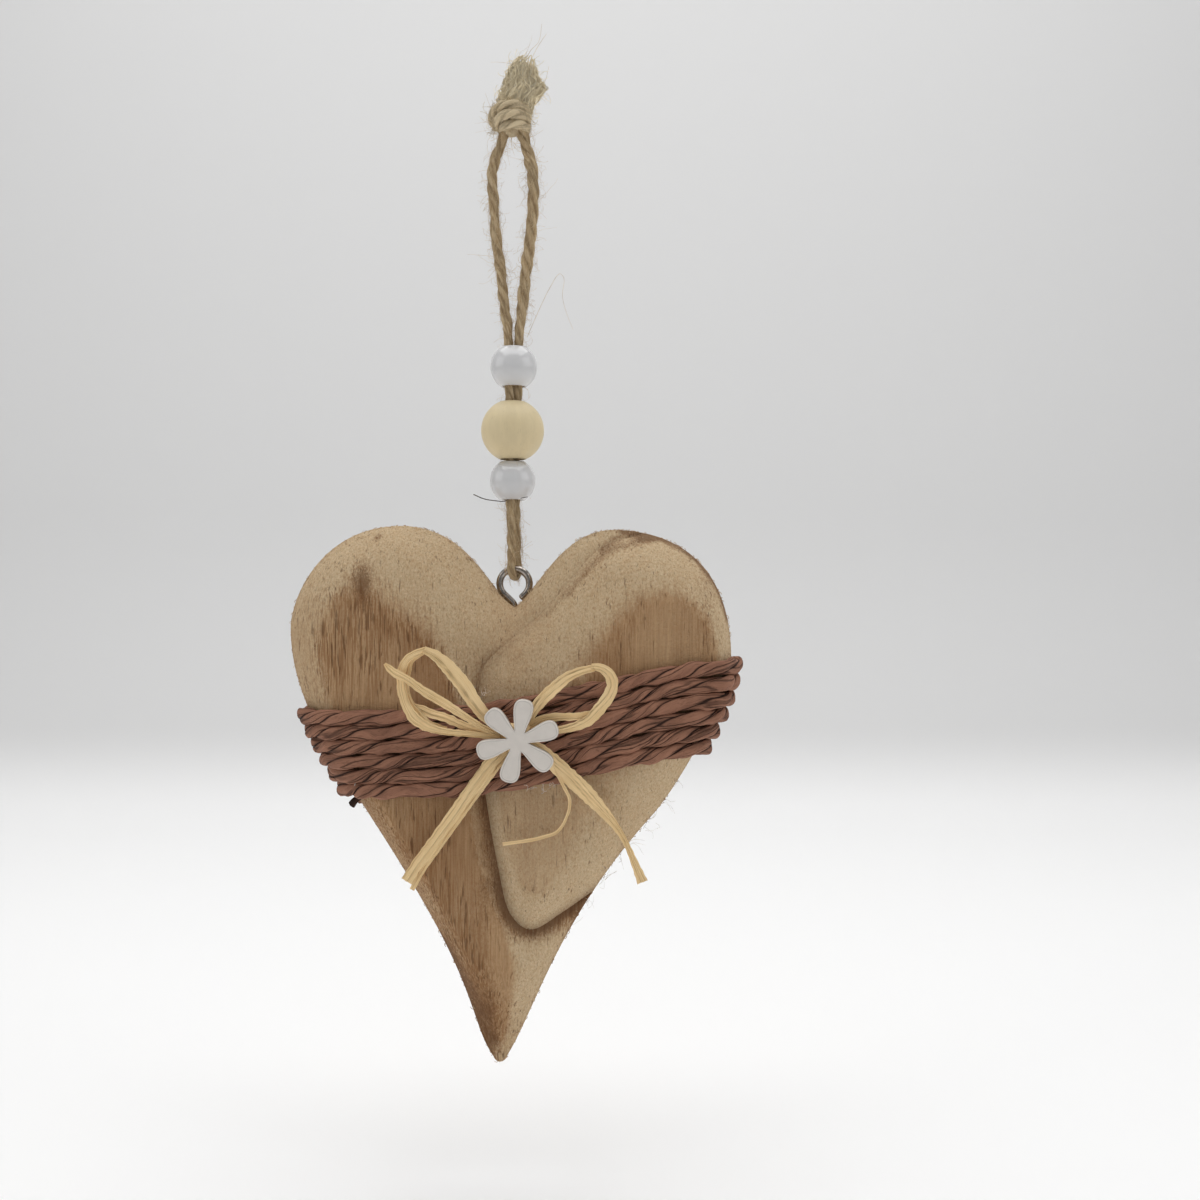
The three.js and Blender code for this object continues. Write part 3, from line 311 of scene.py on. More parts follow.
TAN_STROKES = [
    (0.5, [(-50, -122), (-50, -134), (-45, -150)], 6.0),
    (0.85, [(-43, -158), (-33, -174), (-21, -195), (-11, -214), (-7, -228)], 5.0),
]

# Loose fibres on each kind of surface: number to the square metre, and radius in metres.
LOOSE = {"twine": (9e5, 0.00003), "knot": (6e5, 0.00005), "tuft": (2.5e5, 0.00005), "wood": (5e5, 0.00009)}
WOOD_FUZZ_LENGTH, WOOD_FUZZ_BEND = 0.0011, 0.3

# The pale sweep: height of the floor, and distance, bend and height of the wall.
FLOOR_Z, WALL_Y, SWEEP_BEND, WALL_TOP = -267.0, 760.0, 220.0, 1500.0
FLOOR_NEAR, FLOOR_FAR = 900, 9000
# The camera, in metres, and its lens and film width in millimetres.
CAMERA_PLACE = (0.0223, -0.3455, -0.1187)
LENS, FILM = 40.43, 36


def srgb(red, green, blue):
    """Linear colour of a screen colour given from 0 to 255."""
    def curve(value):
        share = value / 255
        return share / 12.92 if share <= 0.04045 else ((share + 0.055) / 1.055) ** 2.4
    return curve(red), curve(green), curve(blue)


def lerp(a, b, t):
    return a + (b - a) * t


def smooth(t):
    k = np.clip(t, 0, 1)
    return k * k * (3 - 2 * k)


def above(value, level, run):
    """0 up to the level, then rising to 1 over the run."""
    return smooth((value - level) / run)


def below(value, level, run):
    """0 down to the level, then rising to 1 over the run."""
    return smooth((level - value) / run)


def toned(colour, share):
    return tuple(c * share for c in colour)


def hump(distance, width):
    """1 at no distance, and falling off over the width."""
    return np.exp(-((distance / width) ** 2))


def unit(vectors):
    return vectors / np.maximum(np.linalg.norm(vectors, axis=-1, keepdims=True), 1e-12)


def wave_noise(points, pitch, seed, waves=9):
    """Smooth noise from -1 to 1 about, with bumps of the given pitch."""
    rng = np.random.default_rng(seed)
    points = np.atleast_2d(points)
    total = np.zeros(len(points))
    for _ in range(waves):
        way = unit(rng.normal(size=points.shape[1]))
        size = rng.uniform(0.6, 1.6) * 2 * math.pi / pitch
        total += np.sin(points @ way * size + rng.uniform(0, 2 * math.pi))
    return total / math.sqrt(waves * 0.9)


def cubic(start, handle, other, end, t):
    t = np.asarray(t)[:, None]
    a, b, c, d = (np.asarray(p, float) for p in (start, handle, other, end))
    return a * (1 - t) ** 3 + 3 * b * t * (1 - t) ** 2 + 3 * c * t * t * (1 - t) + d * t ** 3


def rim_at(rows, places):
    """Points of a rim at places counted in curves from its start."""
    places = np.asarray(places, float)
    index = np.minimum(places.astype(int), len(rows) - 1)
    found = np.zeros((len(places), 2))
    for k, (handle, other, end) in enumerate(rows):
        start = LAP_TOP if k == 0 else rows[k - 1][2]
        here = index == k
        found[here] = cubic(start, handle, other, end, places[here] - k)
    return found


def spline_at(points, places, closed=False):
    """Centripetal spline through points, at places counted in points from the first."""
    points = np.asarray(points, float)
    places = np.asarray(places, float)
    count = len(points)
    if closed:
        index = places.astype(int) % count
        share = (places - places.astype(int))[:, None]
        p0, p1, p2, p3 = (points[(index + step) % count] for step in (-1, 0, 1, 2))
    else:
        index = np.minimum(places.astype(int), count - 2)
        share = (places - index)[:, None]
        padded = np.vstack([2 * points[0] - points[1], points, 2 * points[-1] - points[-2]])
        p0, p1, p2, p3 = (padded[index + step] for step in (0, 1, 2, 3))
    d0, d1, d2 = (np.linalg.norm(b - a, axis=1)[:, None] ** 0.5 for a, b in ((p0, p1), (p1, p2), (p2, p3)))
    t1 = ((p1 - p0) / d0 - (p2 - p0) / (d0 + d1) + (p2 - p1) / d1) * d1
    t2 = ((p2 - p1) / d1 - (p3 - p1) / (d1 + d2) + (p3 - p2) / d2) * d1
    square, cube = 3 * (p2 - p1) - 2 * t1 - t2, 2 * (p1 - p2) + t1 + t2
    return p1 + t1 * share + square * share ** 2 + cube * share ** 3


def spline(points, per_span, closed=False):
    spans = len(points) if closed else len(points) - 1
    places = np.linspace(0, spans, spans * per_span + 1)
    return spline_at(points, places[:-1] if closed else places, closed)


def reach_along(path):
    return np.concatenate([[0], np.cumsum(np.linalg.norm(np.diff(path, axis=0), axis=1))])


def spaced(path, step, *others):
    """A path and what goes with it, at even steps of about the given length."""
    reach = reach_along(path)
    goals = np.linspace(0, reach[-1], max(2, int(round(reach[-1] / step)) + 1))
    return [np.stack([np.interp(goals, reach, column) for column in table.T], 1) for table in (path, *others)]


LEFT_LINE = rim_at(LEFT_RIM, np.linspace(0, 8, 8 * 30 + 1))
RIGHT_LINE = rim_at(RIGHT_RIM, np.linspace(0, 3, 3 * 40 + 1))
RIM_LOOP = np.vstack([LEFT_LINE, RIGHT_LINE[1:-1][::-1]])
CREASE_LINE = spline(CREASE, 24)
RIGHT_LOOP = np.vstack([RIGHT_LINE, CREASE_LINE[1:-1][::-1]])
LEFT_TOP_LINE = spline(LEFT_CROWN, 10, True)
RIGHT_TOP_LINE = spline(RIGHT_CROWN, 10, True)


def line_distance(points, line, closed=False):
    """Distance of each point to the nearest place of a line."""
    starts = line if closed else line[:-1]
    runs = (np.roll(line, -1, axis=0) if closed else line[1:]) - starts
    best = np.full(len(points), np.inf)
    for start, run in zip(starts, runs):
        away = points - start
        t = np.clip(away @ run / (run @ run + 1e-12), 0, 1)
        best = np.minimum(best, np.hypot(away[:, 0] - t * run[0], away[:, 1] - t * run[1]))
    return best


def is_inside(points, loop):
    inside = np.zeros(len(points), bool)
    for (ax, az), (bx, bz) in zip(loop, np.roll(loop, -1, axis=0)):
        if az == bz:
            continue
        crosses = (az > points[:, 1]) != (bz > points[:, 1])
        inside ^= crosses & (points[:, 0] < ax + (points[:, 1] - az) / (bz - az) * (bx - ax))
    return inside


def slope(t):
    k = np.clip(t, 0, 1)
    return lerp(k, np.sqrt(1 - (1 - k) ** 2), ROUNDNESS)


def tip_taper(z):
    """Share of the full thickness, which falls off towards the tip."""
    return above(z, TIP_Z, TIP_RISE)


def foot_height(edge):
    """Height that the carving starts from, which rises along the crease from the rim inwards."""
    return EDGE_HEIGHT + (CREASE_HEIGHT - EDGE_HEIGHT) * smooth(edge / CREASE_RUN_OUT)


def front_form(points, on_right):
    """Carved height, share of the slope climbed, and distances to the rim and to the crease."""
    edge = line_distance(points, RIM_LOOP, True)
    crease = line_distance(points, CREASE_LINE)
    height = np.zeros(len(points))
    climbed = np.zeros(len(points))
    for side, crown, top in ((False, LEFT_TOP_LINE, LEFT_HEIGHT), (True, RIGHT_TOP_LINE, RIGHT_HEIGHT)):
        here = on_right == side
        place = points[here]
        to_crown = np.where(is_inside(place, crown), 0, line_distance(place, crown, True))
        e, c = edge[here], crease[here]
        near = e * c / np.cbrt(e ** 3 + c ** 3 + 1e-9)
        soft = SOFT_FOOT + (0 if side else LAP_SOFT_FOOT) * hump(c, LAP_REACH)
        near = near * near / (near + soft)
        share = near / (near + to_crown + 1e-9)
        foot = foot_height(e)
        full = lerp(EDGE_HEIGHT, top, tip_taper(place[:, 1]))
        fill = CREASE_FILL * hump(c, FILL_REACH) * smooth(e / FILL_RUN_OUT)
        height[here] = foot + fill + np.maximum(0, full - foot - fill) * slope(share)
        climbed[here] = share
    return height, climbed, edge, crease


def back_height(points):
    edge = line_distance(points, RIM_LOOP, True)
    return lerp(EDGE_HEIGHT, BACK_HEIGHT, slope(edge / BACK_SLOPE) * tip_taper(points[:, 1]))


class Shape:
    """Vertices and faces of one mesh, gathered part by part, with a flat place for every corner."""

    def __init__(self):
        self.vertices = []
        self.depths = []
        self.faces = []
        self.corners = []
        self.count = 0

    def add(self, points, depth=None):
        points = np.asarray(points, float).reshape(-1, 3)
        self.vertices.append(points)
        self.depths.append(np.zeros(len(points)) if depth is None else np.asarray(depth, float).ravel())
        self.count += len(points)
        return self.count - len(points)

    def grid(self, rings, u, v, closed, depth=None):
        """Quads between rings of points; closed joins the last point of a ring to its first."""
        rings = np.asarray(rings, float)
        count, sides = rings.shape[:2]
        first = self.add(rings, depth)
        across = np.arange(sides if closed else sides - 1)
        along = np.arange(count - 1)[:, None]
        k, after = across[None], (across[None] + 1) % sides
        quads = np.stack([along * sides + k, along * sides + after, (along + 1) * sides + after,
                          (along + 1) * sides + k], -1) + first
        self.faces += quads.reshape(-1, 4).tolist()
        u_near, u_far = (np.broadcast_to(row[:, None], quads.shape[:2]) for row in (u[:-1], u[1:]))
        v_near, v_far = (np.broadcast_to(v[across + step][None], quads.shape[:2]) for step in (0, 1))
        flat = np.stack([u_near, v_near, u_near, v_far, u_far, v_far, u_far, v_near], -1)
        self.corners += flat.reshape(-1, 2).tolist()
        return first

    def capped(self, rings, u, v, depth=None):
        """Rings joined all round, with a face over each end."""
        first = self.grid(rings, u, v, True, depth)
        count, sides = np.shape(rings)[:2]
        last = first + (count - 1) * sides
        for ids in (range(first, first + sides)[::-1], range(last, last + sides)):
            self.faces.append(list(ids))
            self.corners += [[0.0, 0.0]] * sides

    def tube(self, path, side, out, sections, girth=1.0, depth=None):
        """Closed tube: sections holds, for each place of the path, a loop of (across, up) offsets."""
        sections = np.broadcast_to(sections, (len(path), *np.shape(sections)[-2:]))
        rings = path[:, None] + side[:, None] * sections[..., :1] + out[:, None] * sections[..., 1:]
        places = np.linspace(0, girth, rings.shape[1] + 1) if np.isscalar(girth) else girth
        self.capped(rings, reach_along(path), places, depth)

    def rod(self, path, outs, section, radii, depth=0.0):
        """Tube of one section, times the radius at each place of the path."""
        side, out = along_frames(path, outs)
        depths = np.full((len(path), len(section)), depth)
        self.tube(path, side, out, section[None] * radii[:, None, None], depth=depths)

    def points(self):
        return np.vstack(self.vertices)

    def build(self, name, material):
        mesh = bpy.data.meshes.new(name)
        mesh.from_pydata((self.points() * MM).tolist(), [], self.faces)
        layer = mesh.uv_layers.new(name="strip")
        layer.data.foreach_set("uv", np.asarray(self.corners, np.float32).ravel())
        # The groove value marks where the finishes paint shade, and on some parts real soot or a darker tone.
        point_values(mesh, "groove", np.concatenate(self.depths))
        return finished(name, mesh, material)


def finished(name, mesh, material):
    mesh.materials.clear()
    mesh.materials.append(material)
    mesh.shade_smooth()
    mesh.validate()
    piece = bpy.data.objects.new(name, mesh)
    bpy.context.scene.collection.objects.link(piece)
    return piece


def place(piece, slot, *nodes):
    """Fixes a piece to the body and hides the solids it stands for; the finish slot is not used."""
    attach(piece, "root")
    if nodes:
        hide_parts(*nodes)
    return piece


def point_values(mesh, name, values):
    mesh.attributes.new(name, "FLOAT", "POINT").data.foreach_set("value", np.asarray(values, np.float32))


def merged(mesh, distance):
    work = bmesh.new()
    work.from_mesh(mesh)
    bmesh.ops.remove_doubles(work, verts=work.verts, dist=distance)
    bmesh.ops.recalc_face_normals(work, faces=work.faces)
    work.to_mesh(mesh)
    work.free()


def places_of(mesh):
    found = np.zeros(len(mesh.vertices) * 3, np.float32)
    mesh.vertices.foreach_get("co", found)
    return found.reshape(-1, 3) / MM


def loop_section(sides, across=1.0, up=1.0):
    angle = 2 * math.pi * np.arange(sides) / sides
    return np.stack([across * np.cos(angle), up * np.sin(angle)], -1)


def along_frames(path, outs):
    """Sides and outward directions along a path, square to it."""
    tangent = unit(np.gradient(path, axis=0))
    side = unit(np.cross(outs, tangent))
    return side, np.cross(tangent, side)


def carried_outs(path, first):
    """Outward directions that don't turn about the path."""
    tangent = unit(np.gradient(path, axis=0))
    outs = [unit(np.asarray(first, float))]
    for t in tangent[1:]:
        outs.append(unit(outs[-1] - t * (outs[-1] @ t)))
    return np.array(outs)


def twisted(shape, path, outs, away, ply, lay, sides, seed, crease, girth):
    """Three plies laid round each other: away is how far each lies off the middle, and ply its radius."""
    side, out = along_frames(path, outs)
    reach = reach_along(path)
    rng = np.random.default_rng(seed)
    drift = 0.5 * wave_noise(reach[:, None], abs(lay) * 2.7, seed + 5)
    around = 2 * math.pi * np.arange(sides) / sides
    limit = 0.8 * math.sqrt(2) * (away + ply)
    for k in range(PLIES):
        turn = 2 * math.pi * (reach / lay + k / PLIES) + drift
        across, up = away * girth * np.cos(turn), away * girth * np.sin(turn)
        centre = path + side * across[:, None] + out * up[:, None]
        swell = 1 + 0.07 * wave_noise(reach[:, None], abs(lay) * 0.8, seed + 20 + k)
        angle = around[None] - turn[:, None] * 0.35
        grooves = np.zeros((len(path), sides))
        for at in rng.uniform(0, 2 * math.pi, 5):
            wander = at + 0.5 * wave_noise(reach[:, None], abs(lay) * 0.9, int(at * 1000))[:, None]
            gap = np.abs((angle - wander + math.pi) % (2 * math.pi) - math.pi)
            grooves = np.maximum(grooves, hump(gap, 0.3))
        radii = (swell * girth)[:, None] * (1 - crease * 2.2 * grooves) * ply
        sections = np.stack([np.cos(around)[None] * radii, np.sin(around)[None] * radii], -1)
        inner = np.hypot(sections[..., 0] + across[:, None], sections[..., 1] + up[:, None])
        # Painted shade: darker where the plies turn in towards each other, and along their grooves.
        depth = np.clip(1 - inner / (limit * girth[:, None]), 0, 1) * 1.6 + 0.45 * grooves
        shape.tube(centre, side, out, sections, girth=1.0 + k, depth=np.clip(depth, 0, 1))


def fibre_tree():
    """Short bent fibres spread over a surface, where its attribute named fuzz is above zero."""
    tree = bpy.data.node_groups.new("stray_fibres", "GeometryNodeTree")
    face = tree.interface
    face.new_socket(name="Geometry", in_out="INPUT", socket_type="NodeSocketGeometry")
    for label, kind, default in (
        ("Density", "Float", 1e5), ("Length", "Float", 0.002), ("Thickness", "Float", 0.00006),
        ("Bend", "Float", 0.6), ("Seed", "Int", 1),
    ):
        face.new_socket(name=label, in_out="INPUT", socket_type="NodeSocket" + kind).default_value = default
    face.new_socket(name="Material", in_out="INPUT", socket_type="NodeSocketMaterial")
    face.new_socket(name="Geometry", in_out="OUTPUT", socket_type="NodeSocketGeometry")

    def give(socket, value):
        if isinstance(value, bpy.types.NodeSocket):
            tree.links.new(value, socket)
        else:
            socket.default_value = value

    def node(kind, settings=None, **inputs):
        made = tree.nodes.new(kind)
        for key, value in (settings or {}).items():
            setattr(made, key, value)
        for key, value in inputs.items():
            give(made.inputs[key.replace("_", " ")], value)
        return made

    def math_of(operation, first, second):
        made = node("ShaderNodeMath", {"operation": operation})
        give(made.inputs[0], first)
        give(made.inputs[1], second)
        return made.outputs[0]

    def chance(low, high, seed):
        made = node("FunctionNodeRandomValue", {"data_type": "FLOAT"}, Seed=seed)
        made.inputs[2].default_value, made.inputs[3].default_value = low, high
        return made.outputs[1]

    given = node("NodeGroupInput").outputs
    weight = node("GeometryNodeInputNamedAttribute", {"data_type": "FLOAT"}, Name="fuzz").outputs["Attribute"]
    spread = node("GeometryNodeDistributePointsOnFaces", Mesh=given["Geometry"], Seed=given["Seed"],
                  Density=math_of("MULTIPLY", weight, given["Density"]))
    middle = node("ShaderNodeCombineXYZ", X=given["Bend"], Y=0.1, Z=0.45)
    bent = node("GeometryNodeCurveQuadraticBezier", Resolution=7, Start=(0, 0, -0.05),
                Middle=middle.outputs[0], End=(0.85, -0.45, 0.28))
    ring = node("GeometryNodeCurvePrimitiveCircle", Resolution=3,
                Radius=math_of("DIVIDE", given["Thickness"], given["Length"]))
    hair = node("GeometryNodeCurveToMesh", Curve=bent.outputs["Curve"], Profile_Curve=ring.outputs["Curve"],
                Fill_Caps=True)
    about = node("FunctionNodeAxisAngleToRotation", Axis=(0, 0, 1),
                 Angle=chance(0, 2 * math.pi, given["Seed"]))
    turned = node("FunctionNodeRotateRotation", {"rotation_space": "LOCAL"}, Rotate_By=about.outputs[0],
                  Rotation=spread.outputs["Rotation"])
    few_long = math_of("POWER", chance(0.4, 1.0, 77), 2.2)
    hairs = node("GeometryNodeInstanceOnPoints", Points=spread.outputs["Points"],
                 Instance=hair.outputs["Mesh"], Rotation=turned.outputs[0])
    give(hairs.inputs["Scale"], math_of("MULTIPLY", few_long, given["Length"]))
    real = node("GeometryNodeRealizeInstances", Geometry=hairs.outputs["Instances"])
    done = node("GeometryNodeSetMaterial", Geometry=real.outputs["Geometry"], Material=given["Material"])
    node("NodeGroupOutput", Geometry=done.outputs["Geometry"])
    return tree


def fibres_on(surface, name, material, kind, length, seed, bend=0.6):
    """Loose fibres of one kind on a surface, as a plain mesh of their own."""
    density, thickness = LOOSE[kind]
    tree = bpy.data.node_groups.get("stray_fibres") or fibre_tree()
    holder = bpy.data.objects.new("holder", surface.data.copy())
    bpy.context.scene.collection.objects.link(holder)
    grown = holder.modifiers.new("fibres", "NODES")
    grown.node_group = tree
    wanted = {"Density": density, "Length": length, "Thickness": thickness, "Bend": bend, "Seed": seed,
              "Material": material}
    for item in tree.interface.items_tree:
        if item.in_out == "INPUT" and item.name in wanted:
            grown[item.identifier] = wanted[item.name]
    graph = bpy.context.evaluated_depsgraph_get()
    mesh = bpy.data.meshes.new_from_object(holder.evaluated_get(graph), depsgraph=graph)
    bpy.data.objects.remove(holder)
    mesh.name = name
    return finished(name, mesh, material)


class Value:
    """A socket of a material, for sums written as expressions."""

    def __init__(self, paint, socket):
        self.paint = paint
        self.socket = socket

    def math(self, operation, *others):
        return self.paint.node("ShaderNodeMath", {"operation": operation}, dict(enumerate((self, *others))))

    def __add__(self, other):
        return self.math("ADD", other)

    def __sub__(self, other):
        return self.math("SUBTRACT", other)

    def __mul__(self, other):
        return self.math("MULTIPLY", other)

    def __rsub__(self, other):
        return self.paint.node("ShaderNodeMath", {"operation": "SUBTRACT"}, {0: other, 1: self})

    __radd__ = __add__
    __rmul__ = __mul__

    def between(self, low, high):
        """0 below low, 1 above high, smooth in between."""
        return self.paint.node("ShaderNodeMapRange", {"interpolation_type": "SMOOTHSTEP"},
                               {"Value": self, "From Min": low, "From Max": high})

    def off_lines(self, width):
        """0 on the lines where the value passes a half, 1 away from them."""
        return (self - 0.5).math("ABSOLUTE").between(0.0, width)


class Paint:
    """A material in the making."""

    def __init__(self, name, roughness=0.8, **fixed):
        self.material = bpy.data.materials.new(name)
        self.material.use_nodes = True
        self.tree = self.material.node_tree
        self.shader = self.tree.nodes["Principled BSDF"]
        self.shader.inputs["Roughness"].default_value = roughness
        for key, value in fixed.items():
            self.shader.inputs[key.replace("_", " ")].default_value = value

    def node(self, kind, settings=None, inputs=None, output=0):
        made = self.tree.nodes.new(kind)
        for key, value in (settings or {}).items():
            setattr(made, key, value)
        for key, value in (inputs or {}).items():
            socket = made.inputs[key]
            if isinstance(value, Value):
                self.tree.links.new(value.socket, socket)
            else:
                socket.default_value = value
        return Value(self, made.outputs[output])

    def mix(self, share, first, second):
        first, second = ((*c, 1.0) if isinstance(c, tuple) else c for c in (first, second))
        return self.node("ShaderNodeMix", {"data_type": "RGBA"}, {0: share, 6: first, 7: second}, 2)

    def place(self, stretch=(1, 1, 1)):
        """Object coordinates in millimetres, drawn out by the stretch."""
        where = self.node("ShaderNodeTexCoord", output=3)
        return self.node("ShaderNodeVectorMath", {"operation": "MULTIPLY"},
                         {0: where, 1: tuple(s / MM for s in stretch)})

    def strip(self, stretch=(1, 1), lean=0.0):
        """Places along and round a cord or strip, from its own flat map; lean turns the lines round it."""
        where = self.node("ShaderNodeUVMap", {"uv_map": "strip"})
        if lean:
            along, around = (self.node("ShaderNodeSeparateXYZ", None, {0: where}, k) for k in (0, 1))
            where = self.node("ShaderNodeCombineXYZ", None, {0: along, 1: around + along * lean})
        return self.node("ShaderNodeVectorMath", {"operation": "MULTIPLY"}, {0: where, 1: (*stretch, 1)})

    def noise(self, where, detail=3.0, roughness=0.5, distortion=0.0):
        return self.node("ShaderNodeTexNoise", None, {
            "Vector": where, "Scale": 1.0, "Detail": detail, "Roughness": roughness,
            "Distortion": distortion})

    def value(self, name):
        settings = {"attribute_type": "GEOMETRY", "attribute_name": name}
        return self.node("ShaderNodeAttribute", settings, output=2)

    def bump(self, height, depth, strength=1.0, under=None):
        """Normals from a height of 0 to 1, depth millimetres high."""
        inputs = {"Height": height, "Distance": depth * MM, "Strength": strength}
        if under is not None:
            inputs["Normal"] = under
        return self.node("ShaderNodeBump", None, inputs)

    def wear(self, colour=None, roughness=None, normal=None):
        for key, value in (("Base Color", colour), ("Roughness", roughness), ("Normal", normal)):
            if value is not None:
                self.tree.links.new(value.socket, self.shader.inputs[key])
        return self.material


def wood_paint(look):
    paint = Paint("carved_wood", 0.85, Specular_IOR_Level=0.2)
    light, mid, brown, burnt_and_shade = map(tuple, (look.wood_light, look.wood_mid, look.wood_brown, look.wood_burnt_and_shade))
    felt = paint.noise(paint.place((1.6, 1.6, 1.3)), 5, 0.65)
    grain = paint.noise(paint.place((3.2, 3.2, 1.6)), 3, 0.6)
    dashes = paint.noise(paint.place((1.7, 1.7, 0.16)), 2, 0.5, 0.2)
    strands = paint.noise(paint.place((3.0, 3.0, 0.13)), 2, 0.5, 0.3)
    threads = paint.noise(paint.place((2.6, 2.6, 0.06)), 3, 0.6)
    bands = paint.noise(paint.place((0.22, 0.22, 0.012)), 3, 0.55)
    clouds = paint.noise(paint.place((0.05,) * 3), 2, 0.5)
    char_and_shade, streak = paint.value("char_and_shade"), paint.value("streak")
    flat = (paint.value("flat") + felt * 0.3 + dashes * 0.3).between(0.82, 1.25) * (1 - paint.value("pale"))
    # A browner, grained tone on the flat crowns and where the tan value is high; beside the lower crease that
    # tan value is painted shade.
    crown_tan_share = (flat + paint.value("tan") * (0.55 + bands * 0.7)).math("MINIMUM", 1.0)
    nap = paint.mix(felt.between(0.36, 0.68) * 0.5 + bands.between(0.4, 0.7) * 0.15, light, mid)
    nap = paint.mix(grain.between(0.55, 0.67) * 0.45, nap, brown)
    # Pale specks on the slopes: painted highlights of the raised fuzz.
    nap = paint.mix((1 - grain.between(0.33, 0.45)) * 0.45, nap, toned(light, 1.3))
    crown_tan = paint.mix(threads.between(0.34, 0.66) * 0.45 + bands.between(0.35, 0.65) * 0.4, mid, brown)
    tone = paint.mix(crown_tan_share * (0.6 + clouds * 0.45), nap, crown_tan)
    lines = (strands + streak * 0.16).between(0.6, 0.7)
    tone = paint.mix(lines * (0.2 + streak * 0.5), tone, brown)
    marks = (dashes + streak * 0.08 + char_and_shade * 0.08 + clouds * 0.04).between(0.66, 0.76)
    tone = paint.mix(marks * 0.6, tone, burnt_and_shade)
    # Brown where the char value is high: burn marks, and painted shade in the bands beside the crease.
    scorch_and_shade = (char_and_shade * 0.8 + felt * 0.75 + threads * 0.25 - 0.6).between(0.05, 0.6)
    tone = paint.mix(scorch_and_shade * 0.55, tone, brown)
    deep = (char_and_shade + grain * 0.9 - 0.85).between(0.1, 0.5)
    tone = paint.mix(deep * 0.5, tone, burnt_and_shade)
    # Painted shade: the crease line and the wood under the wound cord go towards the burnt colour; along the
    # crease this is partly burn as well.
    tone = paint.mix(paint.value("crease") * (0.5 + felt * 0.5), tone, burnt_and_shade)
    rough = paint.bump(felt, 0.45, 0.7, paint.bump(threads * 0.4 + dashes * -0.5 + grain * 0.35, 0.3, 0.7))
    return paint.wear(tone, None, rough)


def fuzz_paint(look):
    paint = Paint("wood_fuzz", 0.9, Specular_IOR_Level=0.1)
    change = paint.noise(paint.place((0.8,) * 3))
    return paint.wear(paint.mix(change.between(0.35, 0.65), tuple(look.wood_light), tuple(look.wood_brown)))


def paper_paint(look):
    paint = Paint("paper_cord", 0.78, Specular_IOR_Level=0.2)
    light, dark, shade = map(tuple, (look.cord_light, look.cord_dark, look.cord_shade))
    lean = 1.1 / CORD_PITCH
    folds = paint.noise(paint.strip((0.1, 3.2), lean), 4, 0.6, 0.4)
    lines = paint.noise(paint.strip((0.045, 2.6), lean), 1, 0.5, 0.2)
    creases = paint.noise(paint.strip((0.14, 7.0), lean), 3, 0.6, 0.5)
    patches = paint.noise(paint.place((0.16,) * 3), 2)
    tone = paint.mix(folds.between(0.3, 0.7), dark, light)
    tone = paint.mix(patches.between(0.35, 0.7) * 0.35, tone, light)
    # Painted shade: thin slits and creases, and the groove value of the slit between the strands, go towards
    # the shade colour.
    slit = lines.off_lines(0.03)
    tone = paint.mix((1 - slit) * 0.55, tone, shade)
    tone = paint.mix((1 - creases.off_lines(0.03)) * 0.3, tone, shade)
    tone = paint.mix(paint.value("groove").between(0.05, 0.75) * 0.92, tone, shade)
    return paint.wear(tone, None, paint.bump(slit, 0.5, 0.9, paint.bump(folds + creases * 0.4, 0.7, 0.9)))


def raffia_paint(look):
    paint = Paint("raffia", 0.4, Specular_IOR_Level=0.4)
    light, dark = tuple(look.raffia_light), tuple(look.raffia_dark)
    lines = paint.noise(paint.strip((0.03, 9)), 4, 0.6, 0.1)
    slits = paint.noise(paint.strip((0.04, 16)), 2, 0.5, 0.2)
    patches = paint.noise(paint.place((0.2,) * 3), 2)
    tone = paint.mix(lines.between(0.35, 0.7) * 0.4, light, dark)
    tone = paint.mix(patches.between(0.4, 0.7) * 0.25, tone, dark)
    # Painted shade along the folds; the slits are fine dark lines of the strip itself.
    lines_in = paint.value("groove") * 0.6 + (1 - slits.off_lines(0.02)) * 0.3
    tone = paint.mix(lines_in, tone, toned(dark, 0.5))
    return paint.wear(tone, None, paint.bump(lines, 0.14, 0.8))


def flower_paint(look):
    paint = Paint("flower_paint", 0.5)
    white = tuple(look.flower_white)
    brush = paint.noise(paint.place((0.5,) * 3), 4)
    tone = paint.mix(brush.between(0.3, 0.7) * 0.5, white, toned(white, 0.9))
    # Darker side walls, and a painted shade line inside the raised rim.
    tone = paint.mix(paint.value("groove") * 0.5, tone, toned(white, 0.45))
    return paint.wear(tone, None, paint.bump(paint.noise(paint.place((1.5,) * 3), 3), 0.08, 0.6))


def gloss_paint(look):
    paint = Paint("white_bead", 0.12, Coat_Weight=0.4, Coat_Roughness=0.05)
    white = tuple(look.bead_white)
    ripple = paint.noise(paint.place((0.25,) * 3), 2)
    tone = paint.mix(ripple * 0.15, white, toned(white, 0.88))
    return paint.wear(tone, None, paint.bump(ripple, 0.15, 0.4))


def pale_wood_paint(look):
    paint = Paint("pale_wood_bead", 0.5, Specular_IOR_Level=0.4)
    wood = tuple(look.bead_wood)
    rings = paint.noise(paint.place((0.5, 0.35, 0.05)), 5, 0.55, 0.4)
    pores = paint.noise(paint.place((2.6, 2.6, 0.4)), 3)
    tone = paint.mix(rings.between(0.35, 0.65) * 0.4, wood, toned(wood, 0.88))
    tone = paint.mix(pores.between(0.6, 0.72) * 0.22, tone, toned(wood, 0.62))
    return paint.wear(tone, None, paint.bump(pores, 0.06, 0.6))


def steel_paint(look):
    paint = Paint("steel_wire", 0.2, Metallic=1.0)
    stains = paint.noise(paint.place((0.9,) * 3), 3)
    tone = paint.mix(stains.between(0.45, 0.7), tuple(look.steel), toned(look.steel, 0.55))
    return paint.wear(tone, stains * 0.2 + 0.12, None)


